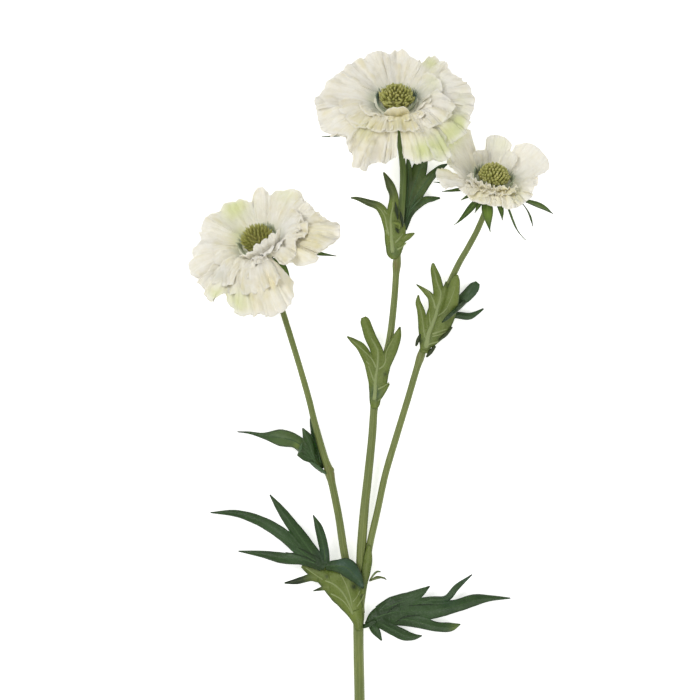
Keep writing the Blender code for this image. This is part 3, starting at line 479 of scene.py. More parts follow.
def addPetal(shape, place, petal, rootHeight, seed, steps):
    # one petal: a cupped smooth sheet from root to tip, then its frills, pleats and crumples
    look = petalLook
    middle, half, shapeAt, roundness, ruffle, cup, crumple = petal
    across, along = steps
    root = look["rootRadius"]
    own = shapeAt(middle)
    size = min(1, own.x / look["fullReach"])
    levels = [(j / along) ** 0.9 for j in range(along + 1)]   # a little closer together at the tip
    base = []
    for v in levels:
        base.append([])
        for i in range(across + 1):
            u = 2 * i / across - 1
            offset = u * half * mix(0.8, 1, smooth(0, 0.35, v))
            reach, rise, crest = shapeAt(middle + offset)
            share = 1 + look["overhang"] - roundness * abs(u) ** 3.2
            # the edge comes and goes in broad, middling and fine waves
            share += (0.008 * wobble(seed, u * 3) + 0.014 * wobble(seed + 3, u * 8) * min(1, 2 * ruffle)
                      + 0.012 * wobble(seed, u * 21) * min(1, ruffle)
                      + look["edgeWave"] * max(0, ruffle - 1) * wobble(seed + 15, u * half / 5))
            share *= v
            radius = root + (reach - root) * share
            height = bend(rootHeight, crest, rise, share) + look["lap"] * offset * (0.4 + 0.6 * share)
            height += cup * (0.5 - u * u) * math.sin(math.pi * min(1, 0.85 * v))
            angle = math.radians(middle + offset)
            base[-1].append(Vector((radius * math.cos(angle), radius * math.sin(angle), height)))
    rows, numbers = [], []
    for j, v in enumerate(levels):
        rows.append([])
        numbers.append([])
        for i in range(across + 1):
            u = 2 * i / across - 1
            point = base[j][i]
            ahead = base[min(j + 1, along)][i] - base[max(j - 1, 0)][i]
            side = base[j][min(i + 1, across)] - base[j][max(i - 1, 0)]
            normal = side.cross(ahead).normalized()
            arc = u * math.radians(half) * own.x
            run = v * own.x
            # each wave wanders by noise, whose sizes are in millimetres, so that no two are alike
            swing = wobble(seed + 5, u * 1.6, v * 0.8)
            frill = math.sin(math.tau * arc / look["frillWidth"] + 3.4 * swing + seed * 2.1)
            fine = math.sin(math.tau * arc / look["fineFrillWidth"] + 6 * wobble(seed + 8, u * 3) + seed)
            wander = 5 * wobble(seed + 2, arc / 12, run / 30)
            streak = math.sin(math.tau * arc / look["pleatWidth"] + wander)
            streak *= 0.5 + 1.1 * wobble(seed + 6, arc / 7, run / 16)
            wander = 6 * wobble(seed + 7, arc / 6, run / 12)
            thin = math.sin(math.tau * arc / look["finePleatWidth"] + wander)
            thin *= smooth(-0.1, 0.5, wobble(seed + 9, arc / 5, run / 9))
            grain = point / look["crumpleSize"]
            rough = creased(seed + 1, grain.x, grain.y, grain.z * 1.5) * crumple * look["crumple"]
            rough += look["crease"] * creased(seed + 11, arc / look["creaseWidth"], run / 13, 0)
            rough += look["fineCrease"] * creased(seed + 12, arc / look["fineCreaseWidth"], run / 6, 0)
            push = look["frill"] * ruffle * size * frill * v ** 2.0
            push += look["fineFrill"] * ruffle * size * fine * v ** 4.0
            push += (look["pleat"] * streak + look["finePleat"] * thin) * smooth(0.02, 0.4, v)
            push += rough * smooth(0.05, 0.5, v) * size
            broad = point / look["swellSize"]
            push += look["swell"] * wobble(seed, broad.x, broad.y, broad.z) * smooth(0.1, 0.7, v) * size
            world = lifted(place @ (point + normal * push))
            rows[-1].append(world)
            # painted shade: how deep a point lies in a fold's hollow, where the cream is laid darker
            hollowShade = smooth(0.1, -0.9, rough + look["pleat"] * streak + 0.5 * ruffle * frill * v ** 2)
            marks = {tint: tintAt(places, world) for tint, places in petalTints.items()}
            marks.update(alongPetal=v, arc=arc + 7 * seed, fold=hollowShade * smooth(0.02, 0.4, v),
                         # rim: where a painted highlight runs along the petal's edge
                         rim=smooth(0.9, 0.985, max(v, abs(u) * smooth(0.3, 0.6, v))),
                         rootShade=(1 - smooth(0.02, 0.26, v * own.x / 34)) * smooth(12, 20, own.x))
            numbers[-1].append(marks)
    addBlade(shape, rows, look["thickness"], lambda j, i: numbers[j][i])


def makePetals(name, head, material):
    look = petalLook
    place = headFrame(head)
    shape = newShape("alongPetal", "arc", "fold", "rim", "rootShade", *petalTints)
    # the green plate that the petals grow from, under the disc
    addTurned(shape, look["plate"], 48, rootShade=1.0)
    moveShape(shape, place)
    seed = sum(ord(letter) for letter in name) % 50

    def outerShape(azimuth):
        return Vector((marginReach(head["margin"], azimuth), *tierShape(head["outer"], azimuth)))

    def innerShape(azimuth):
        return tierShape(head["inner"], azimuth)

    for k, (azimuth, half, *manner, over) in enumerate(head.get("outerFan", ())):
        addPetal(shape, place, (azimuth, half, outerShape, *manner), look["outerRoot"] + over,
                 seed + 1.7 * k, look["steps"])
    for k, (azimuth, half, *manner, over) in enumerate(head.get("innerFan", ())):
        addPetal(shape, place, (azimuth, half, innerShape, *manner), look["innerRoot"] + 0.6 * over,
                 seed + 40 + 2.3 * k, look["steps"])
    for k, (azimuth, half, reach, rise, crest, *manner) in enumerate(head["loose"]):
        own = Vector((reach, rise, crest))
        short = reach < look["shortReach"]
        addPetal(shape, place, (azimuth, half, lambda a, own=own: own, *manner),
                 look["innerRoot"] if short else look["outerRoot"] + 0.5 * (k % 2),
                 seed + 80 + 1.3 * k, look["looseSteps"] if short else look["steps"])
    return makePiece(name, shape, material, "petal_cream", head["node"] + "_petals")


def petalTissue():
    # living petal: soft matt tissue that lets some light through, veined lengthwise, with painted warm shade
    # in its folds, painted light where it is whitened and a painted highlight along its rims, tinged green
    # near some margins and grey-green where it leaves the disc
    look = petalLook
    material, tree, shader, place = newMaterial(
        "petalTissue", Roughness=0.6, IOR=1.36, Subsurface_Weight=0.2, Subsurface_Scale=0.0014,
        Subsurface_Radius=(0.85, 0.8, 0.7), Sheen_Weight=0.08, Sheen_Roughness=0.5)
    arc = addNode(tree, "ShaderNodeAttribute", output="Fac", attribute_name="arc")
    along = addNode(tree, "ShaderNodeAttribute", output="Fac", attribute_name="alongPetal")
    lengthwise = addNode(tree, "ShaderNodeCombineXYZ", {
        0: addNode(tree, "ShaderNodeMath", {0: arc, 1: look["veinGap"]}, operation="DIVIDE"),
        1: addNode(tree, "ShaderNodeMath", {0: along, 1: look["veinsAlong"]}, operation="MULTIPLY")})
    veins = addNode(tree, "ShaderNodeTexNoise",
                    {"Vector": lengthwise, "Scale": 1, "Detail": 3, "Roughness": 0.6})
    # clouds about 7 mm across, mottling of 1.1 mm and cells of 0.45 mm, coarser than real ones to show
    clouds = addNode(tree, "ShaderNodeTexNoise",
                     {"Vector": place, "Scale": 0.14, "Detail": 4, "Roughness": 0.6})
    mottle = addNode(tree, "ShaderNodeTexNoise", {"Vector": place, "Scale": 0.9, "Detail": 3})
    cells = addNode(tree, "ShaderNodeTexNoise", {"Vector": place, "Scale": 2.2, "Detail": 2})
    cream = layered(tree, "#FAF6E9", (
        ("#F3EDDA", clouds, 0.38, 0.66, 0, 1),
        ("#E6DFC6", veins, 0.48, 0.75, 0, 0.45),
        ("#E6E1C6", mottle, 0.52, 0.75, 0, 0.25),
        # painted shade in the hollows of the folds
        ("#E3D8AC", "fold", 0, 1, 0, 0.6),
        # painted warm shade in the creases, following the veins
        ("#EBDF98", veins, 0.3, 0.7, 0.35, 0.9, "warmFoldShade"),
        ("#D5DD99", clouds, 0.3, 0.6, 0.55, 0.88, "greenTint"),
        ("#A9B19F", veins, 0.25, 0.7, 0.9, 0.5, "greyTint"),
        ("#C2C8A4", veins, 0.25, 0.75, 0.5, 0.2, "rootShade"),
        # painted light: whiter cream where the petals catch the light
        ("#FEFCF6", "paintedLight", 0, 1, 0, 0.88),
        # painted highlight: a paler line along the rims
        ("#FAF7EE", "rim", 0, 1, 0, 0.5),
        ("#7C6B45", mottle, 0.62, 0.68, 0, 0.8, "speck")))
    relief = addNode(tree, "ShaderNodeMix", {0: 0.35, 2: veins, 3: cells})
    coat(tree, shader, cream, relief, 0.55, 0.6)
    gloss = addNode(tree, "ShaderNodeMapRange", {0: veins, 1: 0.3, 2: 0.7, 3: 0.42, 4: 0.6})
    tree.links.new(gloss, shader.inputs["Roughness"])
    return material


petals = petalTissue()
for bloom, head in heads.items():
    makePetals(bloom + "Petals", head, petals)


# discs: a dome of curled stubby florets

discLook = {
    "radius": 8.2, "height": 7.2, "foot": 0.2,
    "spread": 86,                 # degrees from the top down to the lowest florets
    "core": 0.9,                  # the solid dome under the florets, as a share of the whole
    "rings": 10, "sides": 9,      # of each floret
}


def makeDisc(name, head, material):
    look = discLook
    florets = head["florets"]
    shape = newShape("tip", "shade")
    wide, high = look["core"] * look["radius"], look["core"] * look["height"]
    profile = [(0, look["foot"]), (wide, look["foot"])]
    profile += [(wide * math.cos(math.pi / 2 * k / 10), look["foot"] + high * math.sin(math.pi / 2 * k / 10))
                for k in range(10)]
    profile.append((0, look["foot"] + high))
    addTurned(shape, profile, 40)
    pick = random.Random(len(name))
    golden = math.pi * (3 - math.sqrt(5))
    for k in range(florets["count"]):
        polar = math.radians(look["spread"]) * math.sqrt((k + 0.5) / florets["count"])
        turn = k * golden + pick.uniform(-0.06, 0.06)
        outward = Vector((math.sin(polar) * math.cos(turn), math.sin(polar) * math.sin(turn),
                          math.cos(polar)))
        seat = Vector((outward.x * look["radius"], outward.y * look["radius"],
                       outward.z * look["height"] + look["foot"] + 0.5))
        # each floret leans up towards the top of the dome and hooks over at its tip
        upward = (outward + Vector((0, 0, florets["lift"] + pick.uniform(-0.1, 0.25)))).normalized()
        sideways = Vector((-outward.y, outward.x, 0)) * pick.uniform(-1, 1) * florets["sway"]
        curl = (sideways - outward * pick.uniform(0.2, 0.8)) * florets["hook"]
        length = florets["length"] * pick.uniform(0.8, 1.2) * mix(1, 0.85, polar)
        width = florets["radius"] * pick.uniform(0.8, 1.1)
        path, radii = [], []
        for j in range(look["rings"]):
            t = j / (look["rings"] - 1)
            bow = sideways * 0.5 * math.sin(math.pi * t)
            path.append(seat - outward * 1.6 + upward * length * t + curl * t ** 3 + bow)
            body = width * mix(1, florets["taper"], t) * (0.85 + 0.2 * math.sin(math.pi * t))
            radii.append(body if t < 1 else body * 0.5)
        tone = pick.random()
        addTube(shape, path, radii, look["sides"],
                lambda j, m, tone=tone: {"tip": j / (look["rings"] - 1), "shade": tone})
    moveShape(shape, headFrame(head))
    return makePiece(name, shape, material, "disc_olive", head["node"] + "_disc")


def budTissue():
    # unopened florets: dull olive tubes, with painted light making them paler at their tips and painted
    # shade dark in the gaps at their feet
    material, tree, shader, place = newMaterial(
        "floretBuds", Roughness=0.5, IOR=1.4, Subsurface_Weight=0.08, Subsurface_Scale=0.001,
        Subsurface_Radius=(0.8, 1.0, 0.4))
    grain = addNode(tree, "ShaderNodeTexNoise", {"Vector": place, "Scale": 1.6, "Detail": 3})   # 0.6 mm
    olive = layered(tree, "#8A8745", (
        # painted light and shade: from the dark feet in the gaps to pale, lit tips
        ("#B7B468", "tip", 0.15, 0.65, 0, 1),
        ("#CDCA88", "tip", 0.7, 1, 0, 0.6),
        ("#95A04E", "shade", 0, 1, 0, 0.35),
        ("#86803E", grain, 0.5, 0.75, 0, 0.35)))
    coat(tree, shader, olive, grain, 0.4, 0.3)
    return material


buds = budTissue()
for bloom, head in heads.items():
    makeDisc(bloom + "Disc", head, buds)


# awns: the grey-green bristles between the disc and the petals

awnLook = {
    "ring": 9.75, "count": 110, "length": 5.2, "radius": 0.26, "lean": 1.2,
    "low": 0.2,                   # height of the ring that they stand on
    "ringWidth": 0.55, "ringHeight": 0.7, "ringSides": 64, "ringRounds": 8,
    "taper": (1.2, 1.1, 0.9, 0.6, 0.2),
}


def makeAwns(name, head, material):
    look = awnLook
    shape = newShape("tip", "shade", "greyTint")
    low, sides, rounds = look["low"], look["ringSides"], look["ringRounds"]
    rings = []
    for j in range(rounds):
        turn = math.tau * j / rounds
        radius = look["ring"] + look["ringWidth"] * math.cos(turn)
        height = low + 0.75 + look["ringHeight"] * math.sin(turn)
        rings.append([addPoint(shape, Vector((radius * math.cos(math.tau * k / sides),
                                              radius * math.sin(math.tau * k / sides), height)), shade=0.3)
                      for k in range(sides)])
    for a, b in zip(rings, rings[1:] + rings[:1]):
        for k in range(sides):
            m = (k + 1) % sides
            shape["faces"].append((a[k], a[m], b[m], b[k]))
    pick = random.Random(7 + len(name))
    last = len(look["taper"]) - 1
    for k in range(look["count"]):
        angle = math.tau * (k + pick.uniform(-0.3, 0.3)) / look["count"]
        side = Vector((math.cos(angle), math.sin(angle), 0))
        along = Vector((-side.y, side.x, 0))
        # the awns are shorter on the side that lies down
        length = look["length"] * pick.uniform(0.6, 1.05) * (1 - 0.35 * max(0, side.y))
        lean = look["lean"] * pick.uniform(0.5, 1.4)
        drift = pick.uniform(-0.9, 0.9)
        path = [side * (look["ring"] - 0.1 + lean * t ** 1.6) + along * drift * t
                + Vector((0, 0, low + 0.4 + length * t)) for t in (j / last for j in range(last + 1))]
        radii = [look["radius"] * share for share in look["taper"]]
        tone = pick.random()
        addTube(shape, path, radii, 5, lambda j, m, tone=tone: {"tip": j / last, "shade": tone})
    moveShape(shape, headFrame(head))
    shape["marks"]["greyTint"] = [tintAt(petalTints["greyTint"], p) for p in shape["points"]]
    return makePiece(name, shape, material, "awn_grey_green", head["node"] + "_awns")


def awnBristle():
    # stiff dry bristles: pale at the back of the disc, teal-grey at its sides, faintly glossy, with painted
    # shade darkening their feet
    material, tree, shader, place = newMaterial("awnBristle", Roughness=0.5, IOR=1.45)
    grain = addNode(tree, "ShaderNodeTexNoise", {"Vector": place, "Scale": 2.5, "Detail": 2})   # 0.4 mm
    teal = layered(tree, "#5A7064", (("#7F9080", "shade", 0, 1, 0, 1),))
    greyGreen = layered(tree, "#A3AD92", (
        ("#C6CBB0", "shade", 0, 1, 0, 1),
        (teal, "greyTint", 0.1, 0.7, 0, 1),
        # painted shade: darker at the foot, where the bristles stand between the disc and the petals
        ("#75836A", "tip", 0, 0.4, 0.5, 0),
        ("#A3AD96", grain, 0.5, 0.8, 0, 0.4)))
    tree.links.new(greyGreen, shader.inputs["Base Color"])
    return material


awns = awnBristle()
for bloom, head in heads.items():
    makeAwns(bloom + "Awns", head, awns)


# calyxes: the cup under each bloom and its pointed bracts

bractLook = {
    "rows": 28, "columns": 8, "thickness": 0.4, "keel": 0.3,
    "rootRadius": 7.5, "rootHeight": -4.9,
    "fresh": ((60, 95, 4.5, 0.9), (-44, 64, 5, 0.5), (88, 101, 6, 0.35)),   # x, y, reach, strength
    "cup": ((0, -9.5), (1.6, -9.5), (2.1, -9.3), (2.6, -8.6), (3.6, -7.8), (5.4, -6.7), (7.6, -5.8),
            (9.6, -5.2), (10.5, -4.7), (10.8, -4.2), (10.5, -3.8), (7, -3.7), (0, -3.7)),
    "cupSides": 48, "cupRibs": 16, "cupRibDepth": 0.18,
}


def addBract(shape, place, bract, seed):
    azimuth, reach, rise, halfWidth, belly, rootTurn, midTurn = bract
    look = bractLook
    power = math.log(0.5) / math.log(belly)   # puts the widest part where belly says
    rows = []
    for j in range(look["rows"] + 1):
        t = j / look["rows"]
        angle = math.radians(azimuth + bend(rootTurn, midTurn, 0, t))
        out = Vector((math.cos(angle), math.sin(angle), 0))
        side = Vector((-math.sin(angle), math.cos(angle), 0))
        # from the cup's side it swings out under the petals and up or down to its tip
        radius = bend(look["rootRadius"], (9 + reach) / 2, reach, t)
        height = bend(look["rootHeight"], min(-5.4, rise * 0.6), rise, t)
        half = halfWidth * max(0.06, 0.42 * (1 - t), math.sin(math.pi * t ** power) ** 1.25)
        row = []
        for i in range(look["columns"] + 1):
            u = 2 * i / look["columns"] - 1
            point = out * radius + side * half * u
            point.z = height + look["keel"] * half * abs(u) ** 1.5 + 0.2 * wobble(seed + 2, t * 5, u)
            row.append(lifted(place @ point))
        rows.append(row)
    addBlade(shape, rows, look["thickness"],
             lambda j, i: {"rib": 1 - abs(2 * i / look["columns"] - 1), "tip": j / look["rows"]})


def makeCalyx(name, head, material):
    shape = newShape("rib", "tip", "fresh")
    look = bractLook
    addTurned(shape, look["cup"], look["cupSides"], look["cupRibs"], look["cupRibDepth"])
    place = headFrame(head)
    moveShape(shape, place)
    for k, bract in enumerate(head["bracts"]):
        addBract(shape, place, bract, k * 1.9 + len(name))
    shape["marks"]["fresh"] = [tintAt(look["fresh"], p) for p in shape["points"]]
    return makePiece(name, shape, material, "calyx_green", head["node"] + "_calyx")


def bractTissue():
    # bracts: thick mid-green blades with a paler rib, dark edges and a slightly waxy face
    material, tree, shader, place = newMaterial(
        "bractTissue", Roughness=0.5, IOR=1.4, Subsurface_Weight=0.05, Subsurface_Scale=0.001,
        Subsurface_Radius=(0.6, 1.0, 0.3))
    grain = addNode(tree, "ShaderNodeTexNoise", {"Vector": place, "Scale": 0.9, "Detail": 4})   # 1.1 mm
    green = layered(tree, "#3C5524", (
        ("#55702F", grain, 0.35, 0.7, 0, 1),
        ("#76903C", "fresh", 0, 1, 0, 1),
        ("#22351A", "rib", 0, 0.35, 0.6, 0),
        ("#7C924C", "rib", 0.72, 1, 0, 0.5),
        ("#2A4021", "tip", 0.6, 1, 0, 0.45)))
    coat(tree, shader, green, grain, 0.3, 0.3)
    return material


bracts = bractTissue()
for bloom, head in heads.items():
    makeCalyx(bloom + "Calyx", head, bracts)


# stem: three ribbed runs with swollen joints (x, y, z, radius)

stemLook = {
    "sides": 40, "ribs": 9, "ribDepth": 0.11, "stepLength": 1.4,
    "jointReach": 3.4, "jointBrown": 0.6,   # length of a swelling, and the swell that is fully brown
    "neckStart": 84, "neckEnd": 106,        # y between which painted shade darkens the main run's green, under the leaf and the bloom
    "necks": (-14.3, -9.6),                 # heights under a bloom that its stem passes through
    # each run: its line, its bloom, the neck's radius and how much painted shade darkens its top
    "runs": (("main", "topBloom", 1.45, 0.95), ("left", "leftBloom", 1.4, 0),
             ("right", "sideBloom", 1.35, 0)),
    "main": ((-6.5, -181.5, 2.7, 2.65), (-6.5, -156.5, 3.2, 2.6), (-7, -130.5, 3.8, 2.6),
             (-7, -112, 4.4, 2.6), (-6, -94, 5, 2.55), (-5.5, -77, 5.5, 2.4), (-4, -57.5, 6, 2.25),
             (-2, -39, 6.5, 2.1), (0, -19.5, 6.9, 2), (1.5, -0.5, 7.2, 1.9), (5, 15, 7.5, 1.8),
             (9, 30.5, 7.8, 1.75), (11.5, 51.5, 8.2, 1.65), (13, 73, 8.4, 1.6), (15, 95, 8.3, 1.65),
             (16, 111, 8, 1.65), (15.8, 122, 7.7, 1.6), (14.5, 132, 7.6, 1.5)),
    "left": ((-7, -108.5, 4.6, 1.9), (-10.5, -94, 5.6, 1.95), (-14, -82, 6, 2), (-17.5, -60, 6.4, 1.9),
             (-21.9, -39, 6.8, 1.85), (-24.9, -29.5, 7, 1.75), (-27.6, -20, 7.3, 1.65),
             (-30.2, -10.5, 7.5, 1.6), (-32.6, -0.5, 7.7, 1.55), (-37, 15, 8, 1.5),
             (-42, 31.5, 8.2, 1.45), (-46.5, 46, 8.4, 1.45), (-50.5, 59, 8.8, 1.45)),
    "right": ((-6.5, -110.5, 4.4, 1.9), (-4, -94, 5.2, 1.8), (-1.5, -77, 5.6, 1.75),
              (2.9, -57.5, 5.8, 1.7), (6.9, -39, 6, 1.7), (12.6, -19.5, 6.1, 1.7),
              (18.4, -0.5, 6.2, 1.65), (25, 21.5, 6.3, 1.65), (33.7, 45, 6.2, 1.6),
              (43.6, 67.5, 6, 1.55), (50, 79, 5.8, 1.5), (55, 88.5, 5.5, 1.45)),
    "joints": ((-7, -112, 4.4, 3.0), (-21.8, -38, 6.8, 2.5), (2, 0, 7.2, 2.4), (12.7, 70, 8.4, 2.2),
               (25, 22, 6.3, 2.1)),
    # what is left of a shed leaf
    "stub": ((-22.8, -37.2, 7.2, 1.2), (-21.2, -36.8, 7.4, 1.15), (-19.9, -36.2, 7.6, 0.95)),
}


def addRun(shape, points, seed, neckShade):
    look = stemLook
    length = sum((Vector(b[:3]) - Vector(a[:3])).length for a, b in zip(points, points[1:]))
    count = int(length / look["stepLength"])
    path, radii, swell = [], [], []
    for j in range(count + 1):
        x, y, z, radius = splinePoint(points, j / count)
        place = Vector((x, y, z))
        bulge = 0
        for jx, jy, jz, jr in look["joints"]:
            away = (place - Vector((jx, jy, jz))).length
            bulge = max(bulge, math.exp(-(away / look["jointReach"]) ** 2) * max(0, jr - radius))
        path.append(place)
        swell.append(min(1, bulge / look["jointBrown"]))
        radii.append(radius + bulge + 0.05 * wobble(seed, j * 0.21))

    def marksAt(j, k):
        neck = neckShade * smooth(look["neckStart"], look["neckEnd"], path[j].y)
        ridge = 0.5 + 0.5 * math.cos(look["ribs"] * math.tau * k / look["sides"])
        return {"joint": swell[j], "neck": neck, "ridge": ridge}

    addTube(shape, path, radii, look["sides"], marksAt, look["ribs"], look["ribDepth"])


def makeStem(material):
    look = stemLook
    shape = newShape("joint", "neck", "ridge")
    for k, (run, bloom, radius, shade) in enumerate(look["runs"]):
        place = headFrame(heads[bloom])
        neck = tuple((*(place @ Vector((0, 0, height))), radius) for height in look["necks"])
        addRun(shape, look[run] + neck, k + 1, shade)
    stub = look["stub"]
    addTube(shape, [Vector(p[:3]) for p in stub], [p[3] for p in stub], 16, lambda j, k: {"joint": 0.3})
    return makePiece("cutStem", shape, material, "stem_green", "stem")


def stemTissue():
    # fresh stem: ribbed, satin, yellow-green with paler ridges, brownish at its joints, and with painted
    # shade darkening the main run's top
    material, tree, shader, place = newMaterial(
        "stemTissue", Roughness=0.48, IOR=1.42, Subsurface_Weight=0.08, Subsurface_Scale=0.0012,
        Subsurface_Radius=(0.7, 1.0, 0.35))
    # streaks 1.1 mm wide and about 9 mm long, clouds of 20 mm
    drawn = addNode(tree, "ShaderNodeVectorMath", {0: place, 1: (1, 0.12, 1)}, operation="MULTIPLY")
    streaks = addNode(tree, "ShaderNodeTexNoise",
                      {"Vector": drawn, "Scale": 0.9, "Detail": 4, "Roughness": 0.6})
    clouds = addNode(tree, "ShaderNodeTexNoise", {"Vector": place, "Scale": 0.05, "Detail": 2})
    green = layered(tree, "#6F7B43", (
        ("#7F894A", clouds, 0.35, 0.65, 0, 1),
        ("#5D6C36", streaks, 0.35, 0.75, 0, 0.7),
        ("#8F9A5B", "ridge", 0.55, 1, 0, 0.35),
        # painted shade: darker green on the main run's top, in the shade of the bloom and the leaves
        ("#46602A", "neck", 0, 1, 0, 0.7),
        ("#7A6A3A", streaks, 0.45, 0.65, 0, 0.7, "joint")))
    coat(tree, shader, green, streaks, 0.3, 0.3)
    gloss = addNode(tree, "ShaderNodeMapRange", {0: streaks, 1: 0.3, 2: 0.7, 3: 0.42, 4: 0.58})
    tree.links.new(gloss, shader.inputs["Roughness"])
    return material


makeStem(stemTissue())


# leaves: each lobe is a line of points from its base to its tip (x, y, z, half width)

leafLook = {
    "thickness": 0.42, "keel": 0.42,
    "wave": 0.7, "waveSize": 6, "fineWaveSize": 2.6,
    "narrowest": 0.12, "lowest": 0.4,   # half width at a tip, and height over the surface
    "edgeWave": 0.05,             # how far a margin comes and goes, as a share of the half width
    "spacing": 1.0,               # between the points inside a blade
    "stations": 40,               # points along each side of a lobe
    "samples": 60,                # steps along a lobe's middle, for heights
    "veinRadius": 0.4, "veinTip": 0.1, "veinSteps": 26,
    "stalkSteps": 24, "sides": 10,
}

